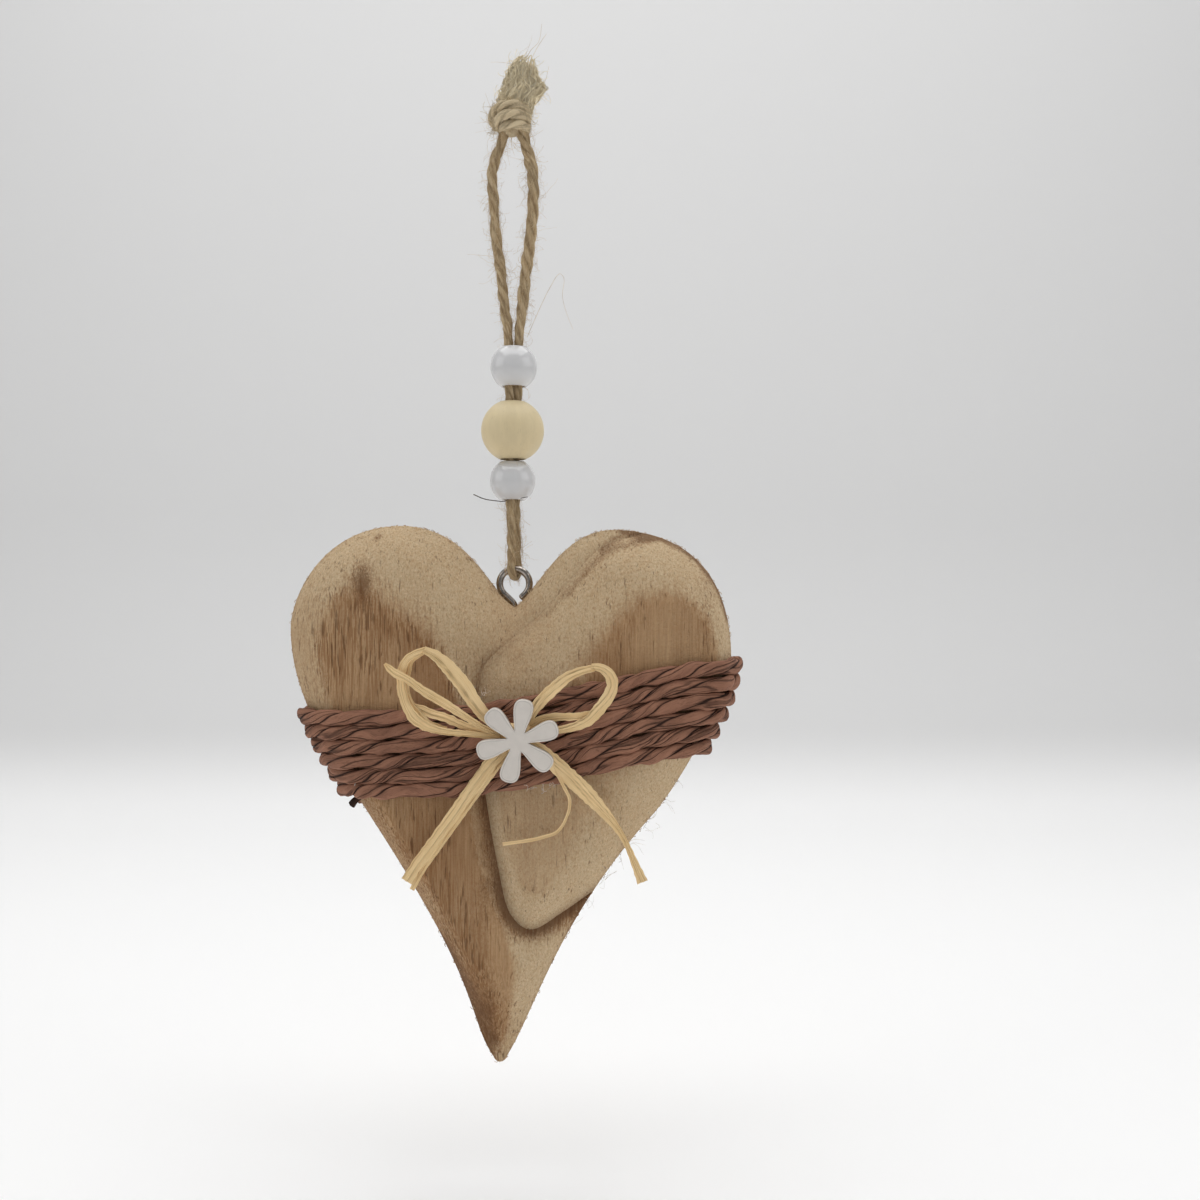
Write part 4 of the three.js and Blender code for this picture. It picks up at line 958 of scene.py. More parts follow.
def jute_paint(look, name="jute", pale=0.0):
    """Jute; pale is how far its colours are bleached."""
    paint = Paint(name, 0.85, Specular_IOR_Level=0.2)
    light, dark = (tuple(lerp(c, top, pale) for c, top in zip(tone, srgb(255, 240, 206)))
                   for tone in (look.jute_light, look.jute_dark))
    threads = paint.noise(paint.strip((0.5, 14)), 5, 0.65, 0.4)
    patches = paint.noise(paint.place((0.5, 0.5, 0.3)), 3)
    tone = paint.mix(threads.between(0.3, 0.7), dark, light)
    tone = paint.mix(patches.between(0.35, 0.7) * 0.4, tone, light)
    # Darker where the groove value is high: painted shade between the plies and on the cores of knot and
    # tuft; in the tuft it also gives some strands a darker tone.
    tone = paint.mix(paint.value("groove").between(0.2, 0.9) * 0.6, tone, toned(dark, 0.5))
    lint = paint.noise(paint.place((1.1, 1.1, 0.8)), 5, 0.7, 1.2)
    tone = paint.mix(lint.between(0.56, 0.66) * 0.4, tone, toned(light, 1.12))
    return paint.wear(tone, None, paint.bump(threads, 0.35, 0.9, paint.bump(lint, 0.25, 0.7)))


def hair_paint(look):
    paint = Paint("jute_hair", 0.6, Specular_IOR_Level=0.3)
    change = paint.noise(paint.place((0.7, 0.7, 0.3)))
    return paint.wear(paint.mix(change.between(0.35, 0.65), tuple(look.jute_light), tuple(look.jute_dark)))


def floor_paint(look):
    paint = Paint("pale_floor", 0.7)
    spots = paint.noise(paint.place((0.004,) * 3), 3)
    floor = paint.mix(spots * 0.12, tuple(look.floor), toned(look.floor, 0.96))
    # Painted shade: the upright wall of the sweep is grey, as it is lit less than the floor, blending in over
    # the bend.
    height = paint.node("ShaderNodeSeparateXYZ", None, {0: paint.place()}, 2)
    return paint.wear(paint.mix(height.between(-278, -212), floor, tuple(look.wall)))


def bead_middle(z):
    """Where the middle of the pair of legs is at a height, between the beads and the eye."""
    levels = [EYE_CENTRE[1], *(row[3] for row in reversed(BEADS))]
    return np.interp(z, levels, [EYE_CENTRE[0], *(row[2] for row in reversed(BEADS))])


def twine_line():
    """Path of the twine, down the left leg, round the wire of the eye and up the right leg."""
    apart = LEG_SPACING / 2

    def turned(side):
        rows = []
        for z, degrees in LEG_TURN:
            angle = math.radians(degrees)
            rows.append((bead_middle(z) + side * apart * math.cos(angle), side * apart * math.sin(angle), z))
        return rows

    wire_top = EYE_CENTRE[1] + EYE_RADIUS
    turn = math.radians(BEND_TURN)
    bend = []
    for degrees in BEND_STOPS:
        angle = math.radians(degrees)
        away = BEND_RADIUS * math.cos(angle)
        bend.append((EYE_CENTRE[0] + away * math.sin(turn), away * math.cos(turn),
                     wire_top + BEND_RADIUS * math.sin(angle)))
    left = [(x, 0, z) for x, z in LEFT_LEG] + turned(-1)
    right = [(x, 0, z) for x, z in RIGHT_LEG] + turned(1)
    return spline(left + bend + right[::-1], 40)


def make_twine(look):
    path, = spaced(twine_line(), 0.35)
    near_eye = np.hypot(path[:, 1], path[:, 2] - EYE_CENTRE[1] - EYE_RADIUS)
    full = np.where(np.arange(len(path)) < len(path) / 2, LEFT_FULL, RIGHT_FULL)
    girth = lerp(SQUEEZED, full, above(path[:, 2], SQUEEZED_BELOW, FULL_ABOVE - SQUEEZED_BELOW))
    girth *= lerp(PRESSED, 1.0, above(near_eye, PRESSED_NEAR, PRESSED_RUN_OUT))
    girth *= 1 + 0.05 * wave_noise(path, 7, 12)
    shape = Shape()
    radius = look.twine_thickness / MM / 2
    outs = carried_outs(path, FRONT)
    twisted(shape, path, outs, radius * 0.36, radius * 0.68, TWINE_LAY, 16, 11, 0.05, girth)
    twine = shape.build("jute_twine_strands", jute_paint(look))
    return place(twine, "jute", "jute_twine"), path


def make_knot(material):
    shape = Shape()
    for k, (points, radius) in enumerate(KNOT_STRANDS):
        path, = spaced(spline(points, 20), 0.3)
        ease = np.sin(np.linspace(0.35, math.pi - 0.35, len(path))) ** 0.4
        outs = carried_outs(path, (0.2, -0.3, 1))
        twisted(shape, path, outs, radius * 0.4, radius * 0.66, KNOT_LAY, 14, 31 + k, 0.07, ease)
    core = spline([(-0.7, 0, 0.3), (-0.7, 0, 2.5), (-0.5, 0, 5), (0.2, 0, 8.0)], 12)
    swell = np.sin(np.linspace(0.45, math.pi - 0.6, len(core)))
    # The core is marked for painted shade where it lies under the strands.
    shape.rod(core, FRONT, loop_section(24, 3.9, 3.0), swell, 0.7)
    return place(shape.build("twine_knot_wraps", material), "jute", "twine_knot")


def make_tuft(material):
    """Loose ends over the knot: bent fibres that fill the tuft, round a fuller core."""
    rng = np.random.default_rng(7)
    shape = Shape()
    rows = spline(TUFT, 8)
    levels = rows[:, 1]

    def at_level(z, column):
        return np.interp(z, levels, rows[:, column])

    def placed(u, v, z):
        return np.stack([at_level(z, 0) + u * at_level(z, 2), v * at_level(z, 3), z], -1)

    heights = np.linspace(levels[0], TUFT_CORE_TOP, 24)
    core = placed(0.0, 0.0, heights)
    side, out = along_frames(core, FRONT)
    full = np.stack([at_level(heights, k) * np.linspace(0.95, 0.86, len(core)) for k in (2, 3)], -1)
    ridges = 1 + 0.07 * np.sin(9 * np.linspace(0, 2 * math.pi, 40, endpoint=False))
    sections = (loop_section(40) * ridges[:, None])[None] * full[:, None]
    # The core gets a little painted shade under the strands.
    shape.tube(core, side, out, sections, depth=np.full((len(core), 40), 0.4))
    for k in range(TUFT_STRANDS):
        angle = rng.uniform(0, 2 * math.pi)
        spread = rng.uniform(0.92, 1.07)
        u, v = spread * math.cos(angle), spread * math.sin(angle)
        top = rng.uniform(17.5, 20.6) if rng.random() < 0.6 else rng.uniform(11.5, 18)
        short = u > 0.6 and rng.random() < 0.7
        if short:
            top = min(top, rng.uniform(11, 15.5))
        climb = np.linspace(levels[0], top, 16)
        u_bent = u + 0.14 * wave_noise(climb[:, None], 6.0, 100 + k)
        v_bent = v + 0.1 * wave_noise(climb[:, None], 5.0, 600 + k)
        line = placed(u_bent, v_bent, climb)
        line[:, 0] += 0.13 * np.maximum(0, climb - 10) * short
        radii = rng.uniform(0.1, 0.26) * np.linspace(1, 0.5, len(line))
        shape.rod(line, (0.1, -1.0, 0.2), loop_section(5, 1.0, 0.8), radii, rng.uniform(0, 0.9) ** 2)
    return place(shape.build("twine_tuft", material), "jute")


def thread(shape, points, radius, steps=6):
    """A single fibre through the points, thinner towards its end."""
    line = spline(points, steps)
    radii = radius * np.linspace(1, 0.5, len(line))
    shape.rod(line, carried_outs(line, (0.3, -0.8, 0.5)), loop_section(4), radii)


def curl(rng, start, way, bend, restless, steps, stride):
    """Places of a loose fibre that bends as it goes; stride gives the length of each step."""
    points = [start]
    for _ in range(steps):
        way = unit(way + bend + rng.normal(size=3) * restless)
        points.append(points[-1] + way * stride())
    return points


def make_twine_curls(path, material):
    """Long curled fibres that have worked loose from the twine and the knot."""
    rng = np.random.default_rng(19)
    shape = Shape()
    reach = reach_along(path)
    for kind in (kind for kind, count in LOOSE_CURLS.items() for _ in range(count)):
        if kind == "knot":
            start = np.array(KNOT_MIDDLE) + unit(rng.normal(size=3)) * KNOT_HALF
            away = unit(start - KNOT_MIDDLE)
            length = rng.uniform(2.5, 6)
        elif kind == "tuft":
            start = np.array(TUFT_MIDDLE) + rng.uniform(-1, 1, 3) * TUFT_HALF
            away = unit(np.array([rng.normal() * 0.7 + 0.15, rng.normal() * 0.7, 1.0]))
            length = rng.uniform(3, 8)
        else:
            at = int(np.searchsorted(reach, rng.uniform(0, reach[-1])))
            start = path[min(at, len(path) - 1)]
            if BEADED[0] < start[2] < BEADED[1]:
                continue
            away = unit(np.array([rng.normal(), rng.normal() * 0.8, rng.normal() * 0.5]))
            length = 2.5 + 6.5 * rng.random() ** 2
        bend = unit(rng.normal(size=3)) * rng.uniform(0.2, 0.75) * 0.55
        points = curl(rng, start, away, bend, 0.18, 7, lambda: length / 7)
        thread(shape, points, rng.uniform(0.028, 0.05), 3)
    side, out = along_frames(path, carried_outs(path, FRONT))
    for _ in range(WRAPPED_FIBRES):
        start = rng.integers(8, len(path) - 40)
        if BEADED[0] < path[start, 2] < BEADED[1]:
            continue
        steps = start + np.arange(0, rng.integers(10, 26), 2)
        steps = steps[steps < len(path)]
        turn = rng.uniform(0, 2 * math.pi) + np.linspace(0, rng.uniform(-3.5, 3.5), len(steps))
        girth = 1.34 * (1 + 0.12 * np.sin(np.linspace(0, math.pi, len(steps))))
        around = side[steps] * (np.cos(turn) * girth)[:, None] + out[steps] * (np.sin(turn) * girth)[:, None]
        thread(shape, list(path[steps] + around), rng.uniform(0.03, 0.06), 3)
    for points, radius in LONG_HAIRS:
        thread(shape, points, radius)
    return place(shape.build("twine_curls", material), "jute")


def two_toned(name, first, second):
    """Finish of single fibres, changing from one colour to another."""
    paint = Paint(name, 0.7)
    change = paint.noise(paint.place((0.6,) * 3))
    return paint.wear(paint.mix(change.between(0.4, 0.6), first, second))


def make_dark_fibre():
    """The stiff dark fibre caught under the lowest bead."""
    shape = Shape()
    thread(shape, DARK_FIBRE, 0.17)
    finish = two_toned("dark_fibre", srgb(52, 44, 42), srgb(96, 84, 78))
    return place(shape.build("dark_fibre", finish), "jute")


def make_edge_curls():
    """Thin pale threads snagged on the right edge of the wood and on the wound cord."""
    rng = np.random.default_rng(33)
    shape = Shape()
    for x, z in EDGE_SNAGS:
        for _ in range(3):
            start = np.array([x + rng.normal() * 0.6, -3.4 + rng.normal(), z + rng.normal() * 0.8])
            way = unit(np.array([rng.uniform(0.4, 1.2), rng.normal() * 0.4, rng.normal()]))
            bend = unit(rng.normal(size=3)) * 0.36
            points = curl(rng, start, way, bend, 0.25, 6, lambda: rng.uniform(0.5, 1.0))
            thread(shape, points, rng.uniform(0.035, 0.06), 4)
    thread(shape, CORD_THREAD, 0.09)
    for x, z in CORD_SNAGS:
        for _ in range(4):
            start = np.array([x, -15.2, z]) + rng.normal(size=3) * 0.5
            way = unit(np.array([rng.normal(), -0.3, rng.normal()]))
            thread(shape, curl(rng, start, way, 0.0, 0.5, 5, lambda: 0.5), 0.06, 4)
    finish = two_toned("pale_threads", srgb(190, 184, 178), srgb(226, 214, 198))
    return place(shape.build("pale_threads", finish), "paper_cord")


def make_heart(look):
    shape = Shape()
    places = np.linspace(0, len(STATIONS) - 1, 301)
    table = np.array(STATIONS, float)
    columns = [np.interp(places, np.arange(len(STATIONS)), table[:, k]) for k in range(3)]
    inner = spline_at(CREASE, columns[0])
    rims = (rim_at(LEFT_RIM, columns[1]), rim_at(RIGHT_RIM, columns[2]))
    for on_right, outer, across in ((False, rims[0], 70), (True, rims[1], 52)):
        share = 0.5 - 0.5 * np.cos(math.pi * np.arange(across + 1) / across)
        flat = lerp(inner[:, None], outer[:, None], share[None, :, None])
        points = flat.reshape(-1, 2)
        height, _, edge, _ = front_form(points, np.full(len(points), on_right))
        height, edge = height.reshape(flat.shape[:2]), edge.reshape(flat.shape[:2])
        height[:, 0] = foot_height(edge[:, 0]) + CREASE_FILL * smooth(edge[:, 0] / FILL_RUN_OUT)
        height[:, -1] = EDGE_HEIGHT
        rings = np.stack([flat[..., 0], -height, flat[..., 1]], -1)
        shape.grid(rings, np.zeros(len(places)), np.zeros(across + 1), False)
    rim = np.vstack([rims[0], rims[1][1:-1][::-1]])
    rings = [np.stack([rim[:, 0], np.full(len(rim), y), rim[:, 1]], -1)
             for y in np.linspace(-EDGE_HEIGHT, EDGE_HEIGHT, 6)]
    centre = np.array(BACK_CENTRE, float)
    for share in np.cos(np.linspace(0.12, math.pi / 2, 24)):
        flat = lerp(centre, rim, share)
        rings.append(np.stack([flat[:, 0], back_height(flat), flat[:, 1]], -1))
    shape.grid(rings, np.zeros(len(rings)), np.zeros(len(rim) + 1), True)
    heart = shape.build("heart_carving", wood_paint(look))
    mesh = heart.data
    merged(mesh, 2e-6)
    relief(mesh, places_of(mesh))
    return place(heart, "carved_wood", "heart")


def marks(points, blobs, strokes):
    """Strength of soft round and drawn-out marks together."""
    total = np.zeros(len(points))
    for strength, centre, across, up in blobs:
        away = ((points[:, 0] - centre[0]) / across) ** 2 + ((points[:, 1] - centre[1]) / up) ** 2
        total += strength * np.exp(-0.5 * away)
    for strength, line, width in strokes:
        total += strength * np.exp(-0.5 * (line_distance(points, np.array(line, float)) / width) ** 2)
    return total


def relief(mesh, points):
    """Small unevenness of the carving, and the values that the wood finish reads."""
    flat = points[:, [0, 2]]
    front = points[:, 1] < -EDGE_HEIGHT - 0.01
    back = points[:, 1] > EDGE_HEIGHT + 0.01
    on_right = is_inside(flat, RIGHT_LOOP)
    _, climbed, edge, crease = front_form(flat, on_right)
    fine = wave_noise(points * (1, 1, 0.45), 2.2, 3, 14)
    broad = wave_noise(points * (1, 1, 0.6), 13, 4, 12)
    calm = smooth(np.minimum(edge, crease) / 2.0)
    lift = (fine * 0.05 + broad * 0.12) * calm
    moved = points.copy()
    moved[:, 1] += np.where(front, -lift, np.where(back, lift, 0))
    mesh.vertices.foreach_set("co", (moved * MM).astype(np.float32).ravel())
    x, z = flat.T
    left = ~on_right
    char_and_shade = marks(flat, CHAR_BLOBS, CHAR_STROKES)
    char_and_shade += 0.6 * hump(crease - 1.9, 1.6) * on_right * above(z, -124, 8)
    # Painted shade, with some burn: dark bands on the left strand beside the crease, where it dips into the
    # crease.
    char_and_shade += 0.5 * hump(crease, 3.4) * left * below(z, -124, 8)
    char_and_shade += 0.3 * hump(crease, 5.5) * left * below(z, -150, 10) * above(z, -212, 10)
    char_and_shade += 0.25 * hump(crease, 1.6) * left * below(z, -186, 6)
    char_and_shade = char_and_shade * front + 0.45 * hump(edge, 0.8)
    tan = left * marks(flat, [], TAN_STROKES) * below(z, -112, 14)
    # Painted shade, with some stain: a tan band on the left strand beside the lower crease.
    tan += 0.8 * left * hump(crease, 7.0) * below(z, -145, 10) * above(z, -206, 8)
    tan += 0.4 * hump(np.hypot(x - 0.5, (z + 127) * 0.8), 9.0)
    point_values(mesh, "flat", np.where(front, climbed, np.where(back, smooth(edge / BACK_SLOPE), 0.3)))
    point_values(mesh, "pale", on_right * below(z, -150, 10) * 0.5)
    point_values(mesh, "streak", np.clip(marks(flat, STREAK_BLOBS, STREAK_STROKES), 0, 1) * front)
    point_values(mesh, "tan", np.clip(tan, 0, 1) * front)
    point_values(mesh, "char_and_shade", np.clip(char_and_shade, 0, 1))
    # The crease value: a dark line along the carved crease, painted shade mixed with burn.
    sharp = 0.22 + 0.15 * below(z, -126, 8) + 0.15 * below(z, -180, 10)
    share = smooth(np.clip((x + 52) / 106, 0, 1) ** ROW_BEND)
    top = lerp(LEFT_ROW_TOP, RIGHT_ROW_TOP, share) + 1.2
    foot = top - 2.4 + (ROWS - 1) * lerp(LEFT_ROW_STEP, RIGHT_ROW_STEP, share)
    # Painted shadow on the wood under the rows of wound cord.
    under = 0.8 * below(z, top, 1.5) * above(z, foot, 1.5)
    point_values(mesh, "crease", np.maximum(hump(crease, 1.6) * sharp, under) * front)
    point_values(mesh, "fuzz", hump(edge, 1.2) + 0.05 * front * (1 - climbed))


def rim_reach(z, side):
    """How far the wood reaches to one side at a height."""
    starts, ends = RIM_LOOP, np.roll(RIM_LOOP, -1, axis=0)
    crosses = (starts[:, 1] > z) != (ends[:, 1] > z)
    a, b = starts[crosses], ends[crosses]
    hits = a[:, 0] + (z - a[:, 1]) / (b[:, 1] - a[:, 1]) * (b[:, 0] - a[:, 0])
    return hits.min() if side < 0 else hits.max()


def half_turn(left_z, right_z, in_front):
    """Half a turn of the wound cord, drawn taut over one face: places and outward directions."""
    half = CORD_WIDTH / 2
    left, right = rim_reach(left_z + half, -1), rim_reach(right_z + half, 1)

    def z_at(x):
        share = np.clip((x - left) / (right - left), 0, 1)
        return lerp(left_z, right_z, smooth(share ** ROW_BEND if in_front else share))

    x = np.linspace(left, right, 120)[1:-1]
    heights = np.zeros(len(x))
    for step in (-half, 0, half):
        places = np.stack([x, z_at(x) + step], -1)
        here = front_form(places, is_inside(places, RIGHT_LOOP))[0] if in_front else back_height(places)
        heights = np.maximum(heights, np.where(is_inside(places, RIM_LOOP), here, 0))
    bearing = [(left, 0), (left, EDGE_HEIGHT), (right, EDGE_HEIGHT), (right, 0), *zip(x, heights)]
    fan = [(px + CORD_CLEAR * math.cos(a), h + CORD_CLEAR * math.sin(a))
           for px, h in bearing for a in np.linspace(0, math.pi, 17)]
    chain = []
    for p in sorted(fan):
        while len(chain) > 1:
            a, b = chain[-2:]
            if (b[0] - a[0]) * (p[1] - a[1]) - (b[1] - a[1]) * (p[0] - a[0]) < 0:
                break
            chain.pop()
        chain.append(p)
    line, = spaced(np.array(chain), 0.7)
    run = unit(np.gradient(line, axis=0))
    facing = -1 if in_front else 1
    path = np.stack([line[:, 0], facing * line[:, 1], z_at(line[:, 0])], -1)
    out = np.stack([-run[:, 1], facing * run[:, 0], np.zeros(len(line))], -1)
    return path, out


def winding():
    """The whole winding, row after row in front and behind: places and outward directions."""
    paths, outs = [], []

    def add(path, out):
        paths.append(path[1:] if paths else path)
        outs.append(out[1:] if outs else out)

    def behind(row):
        left_z, right_z = LEFT_ROW_TOP + (row + 1) * LEFT_ROW_STEP, RIGHT_ROW_TOP + row * RIGHT_ROW_STEP
        path, out = half_turn(left_z, right_z, False)
        return path[::-1], out[::-1]

    path, out = behind(-1)
    first = int(len(path) * START_SHARE)
    add(path[first:], out[first:])
    for row in range(ROWS):
        add(*half_turn(LEFT_ROW_TOP + row * LEFT_ROW_STEP, RIGHT_ROW_TOP + row * RIGHT_ROW_STEP, True))
        path, out = behind(row)
        last = int(len(path) * END_SHARE) if row == ROWS - 1 else len(path)
        add(path[:last], out[:last])
    return spaced(np.vstack(paths), 0.62, np.vstack(outs))


def creased(shape, path, outs, across, up, pitch, seed, soot=0.0):
    """Twisted paper cord: two strands pressed together, whose columns of points follow the twist."""
    side, out = along_frames(path, outs)
    reach = reach_along(path)

    def sway(length, number):
        return wave_noise(reach[:, None], length, seed + number)[:, None]

    near = np.array(STRAND_PLACES)
    half = np.concatenate([near, math.pi - near[:0:-1]])
    around = np.concatenate([half, half + math.pi])[None]
    gap = np.tile(np.minimum(half, math.pi - half), 2)[None]
    turn = (2 * math.pi * reach / pitch)[:, None] + 0.55 * sway(abs(pitch) * 1.6, 0)
    angle = around + turn + 0.2 * sway(abs(pitch) * 0.9, 1) * (1 - np.cos(around))
    open_share = np.clip(0.75 + 0.35 * sway(6, 2), 0.3, 1)
    pair = STRAND_SHIFT * np.sin(gap) + np.sqrt(STRAND_GIRTH ** 2 - (STRAND_SHIFT * np.cos(gap)) ** 2)
    girth = pair + 0.05 * sway(9, 3) - 0.08 * open_share * hump(gap, 0.1)
    girth = girth + 0.05 * sway(7, 4) * np.sin(around) + 0.04 * sway(5, 5) * np.cos(around * 3)
    loop = [np.sign(f(angle)) * np.abs(f(angle)) ** 0.85 for f in (np.cos, np.sin)]
    sections = np.stack([loop[0] * girth * across, loop[1] * girth * up], -1)
    # Painted shade in the slit where the two strands meet; soot adds the real singeing of the stub.
    depth = np.clip(hump(gap, 0.12) * open_share + 0.35 * hump(gap, 0.35) + soot, 0, 1)
    columns = np.append(around[0], 2 * math.pi) / math.pi
    shape.tube(path, side, out, sections, girth=columns, depth=depth)


def make_paper_cord(look):
    path, outs = winding()
    wide = look.cord_width / MM / 2
    shape = Shape()
    creased(shape, path, unit(outs), wide, wide * CORD_FLATNESS, CORD_PITCH, 51)
    stub, = spaced(spline(CORD_STUB, 12), 0.5)
    creased(shape, stub, carried_outs(stub, (0.3, -1, 0)), *STUB_HALF, CORD_PITCH * 0.6, 52, 0.75)
    cord = shape.build("paper_cord_winding", paper_paint(look))
    return place(cord, "paper_cord", "paper_cord")


def rounded(points, step, blur):
    """A broken line, with widths in its last column, whose corners and widths are rounded a little."""
    line, = spaced(np.array(points, float), step)
    for _ in range(blur):
        line[1:-1] = (line[:-2] + 2 * line[1:-1] + line[2:]) / 4
    return line


def make_bow(look):
    shape = Shape()
    columns = 16
    rng = np.random.default_rng(21)
    across = np.linspace(-0.5, 0.5, columns + 1)
    for k, points in enumerate(RAFFIA.values()):
        line = rounded(points, 0.5, 5)
        path, wide = line[:, :3], line[:, 3]
        reach = reach_along(path)
        side, out = along_frames(path, FRONT)
        roll = 0.3 * wave_noise(reach[:, None], 17, 60 + k)
        flat_way = side * np.cos(roll)[:, None] + out * np.sin(roll)[:, None]
        up = out * np.cos(roll)[:, None] - side * np.sin(roll)[:, None]
        creases = np.sort(rng.uniform(-0.36, 0.36, 3))
        lifts = np.array([0.3, *(rng.uniform(0.5, 1.0, 3) * (-1, 1, -1)), 0.2])
        lifts *= 0.3 * min(1.0, wide.mean() / 2.2)
        drift = 0.1 * wave_noise(reach[:, None], 26, 80 + k)
        places = np.clip(creases[None] + drift[:, None] * (1, 0.7, 0.9), -0.46, 0.46)
        places = np.sort(np.pad(places, ((0, 0), (1, 1)), constant_values=(-0.5, 0.5)), axis=1)
        lift = np.array([np.interp(across, row, lifts) for row in places])
        # Thin lines along the folds, where the finish paints shade.
        folds = hump(across[None, :, None] - places[:, None, 1:-1], 0.028).max(-1)
        ragged = 1 + 0.05 * wave_noise(reach[:, None], 3.0, 90 + k)
        spread = flat_way[:, None] * ((wide * ragged)[:, None] * across[None])[..., None]
        rings = [path[:, None] + spread + up[:, None] * (lift + level)[..., None]
                 for level in (RAFFIA_THICK / 2, -RAFFIA_THICK / 2)]
        rings = np.concatenate([rings[0], rings[1][:, ::-1]], 1)[:, ::-1]
        depth = np.concatenate([folds, folds[:, ::-1]], 1)[:, ::-1]
        v = np.concatenate([across + 0.5, across[::-1] + 0.5, [0]]) * wide.mean() / 3 + 2 * k
        shape.capped(rings, reach + 40 * k, v, depth)
    (cx, cy, cz), (rx, ry, rz) = BOW_KNOT
    angle = np.linspace(0, 2 * math.pi, 40)
    for x, tilt in ((cx - 1.2, -0.5), (cx, 0.1), (cx + 1.2, 0.6)):
        loop = np.stack([x + rx * 0.25 * np.cos(angle) * math.cos(tilt), cy + ry * 0.9 * np.sin(angle),
                         cz + rz * 0.9 * np.cos(angle)], -1)
        side, out = along_frames(loop, unit(loop - (x, cy, cz)))
        shape.tube(loop, side, out, loop_section(10, 1.5, 0.35))
    bow = shape.build("raffia_bow_strips", raffia_paint(look))
    merged(bow.data, 1e-7)
    return place(bow, "raffia", "raffia_bow")


def petal_outline():
    """Outline of the flower about its centre, petal after petal."""
    rows = []
    t = np.linspace(0, 1, 17)[:-1]
    for k, degrees in enumerate(PETAL_ANGLES):
        before = (degrees - PETAL_ANGLES[k - 1]) % 360 / 2
        after = (PETAL_ANGLES[(k + 1) % len(PETAL_ANGLES)] - degrees) % 360 / 2
        start, end = ((PETAL_FOOT * math.cos(a), PETAL_FOOT * math.sin(a))
                      for a in map(math.radians, (-before, after)))
        tip = (PETAL_REACH, 0)
        neck, belly = PETAL_NECK, PETAL_BELLY
        out = cubic(start, (neck[0], -neck[1]), (PETAL_REACH, -belly), tip, t)
        back = cubic(tip, (PETAL_REACH, belly), neck, end, t)
        angle = math.radians(degrees)
        turn = np.array([[math.cos(angle), math.sin(angle)], [-math.sin(angle), math.cos(angle)]])
        rows += [out @ turn, back @ turn]
    return np.vstack(rows)


def make_flower(look):
    outline = petal_outline()
    run = unit(np.roll(outline, -1, axis=0) - np.roll(outline, 1, axis=0))
    inward = np.stack([-run[:, 1], run[:, 0]], -1)
    front = FLOWER_BACK - FLOWER_THICK
    sides = np.minimum(1, np.hypot(*outline.T) / 5)
    profile = [(0.0, FLOWER_BACK), (0.0, front + 0.34), (0.04, front + 0.18), (0.12, front + 0.07),
               (0.24, front + 0.02), (0.42, front + 0.02), (0.52, front + 0.08), (0.62, front + 0.09)]
    shape = Shape()
    rings = []
    for inset, y in profile:
        flat = outline + inward * inset * sides[:, None] + FLOWER_CENTRE
        rings.append(np.stack([flat[:, 0], np.full(len(flat), y), flat[:, 1]], -1))
    depths = np.zeros((len(rings), len(outline)))
    depths[:2] = 1.0
    # Painted shade: a thin line at the inner foot of the raised rim.
    depths[5:7] = 0.6
    shape.capped(rings, np.zeros(len(rings)), np.zeros(len(outline) + 1), depths)
    flower = shape.build("flower_petals", flower_paint(look))
    merged(flower.data, 1e-7)
    return place(flower, "flower_paint", "flower")


def make_eye(look):
    cx, cz = EYE_CENTRE
    turn = math.radians(2 * (180 - EYE_MOUTH))
    first = -math.radians(90 + EYE_MOUTH)
    ring = [(cx + EYE_RADIUS * math.cos(a), 0, cz + EYE_RADIUS * math.sin(a))
            for a in first - turn * np.linspace(0, 1, 13)]
    start, end = ring[0], ring[-1]
    foot = cz - EYE_RADIUS - 1.3
    line = [
        (cx, 0, SHANK_END), (cx, 0, (SHANK_END + foot) / 2), (cx, 0, foot - 1.4), (cx - 0.3, 0, foot),
        ((cx + start[0]) / 2 - 0.1, 0, (foot + start[2]) / 2), *ring,
        (lerp(end[0], cx, 0.5), 0, lerp(end[2], foot, 0.55)),
    ]
    path, = spaced(spline(line, 16), 0.25)
    radii = np.full(len(path), WIRE / 2)
    radii[-3:] *= (0.97, 0.88, 0.6)
    radii *= 1 + 0.06 * np.sin(reach_along(path) * 5) * (path[:, 2] < cz - EYE_RADIUS - 2.5)
    shape = Shape()
    shape.rod(path, FRONT, loop_section(20), radii)
    return place(shape.build("screw_eye_wire", steel_paint(look)), "steel_wire", "screw_eye")


def bead_shape(radius, x, z):
    """Turned ball with a bore that is rounded at both mouths."""
    chamfer = 0.35
    lip = BORE_RADIUS + chamfer
    half = math.sqrt(radius ** 2 - lip ** 2)
    arc = np.linspace(-math.asin(half / radius), math.asin(half / radius), 37)
    rows = [(radius * math.cos(a), radius * math.sin(a)) for a in arc]
    rim = np.linspace(0, math.pi / 2, 5)[1:]
    lower = [(BORE_RADIUS + chamfer * (1 - math.sin(a)), -half + chamfer * (1 - math.cos(a)) * 0.9)
             for a in rim]
    upper = [(r, -y) for r, y in lower]
    profile = np.array([*lower[::-1], *rows, *upper])
    angle = 2 * math.pi * np.arange(72) / 72
    rings = np.stack([
        x + profile[:, :1] * np.cos(angle), profile[:, :1] * np.sin(angle),
        z + np.broadcast_to(profile[:, 1:], (len(profile), len(angle))),
    ], -1)
    rings = np.concatenate([rings, rings[:1]])
    shape = Shape()
    shape.grid(rings, np.zeros(len(rings)), np.zeros(73), True)
    return shape


def make_beads(look):
    finishes = {True: gloss_paint(look), False: pale_wood_paint(look)}
    made = []
    for name, radius, x, z in BEADS:
        white = name.endswith("white")
        bead = bead_shape(radius, x, z).build(name + "_turned", finishes[white])
        merged(bead.data, 1e-7)
        made.append(place(bead, "white_bead" if white else "pale_wood_bead", name))
    return made


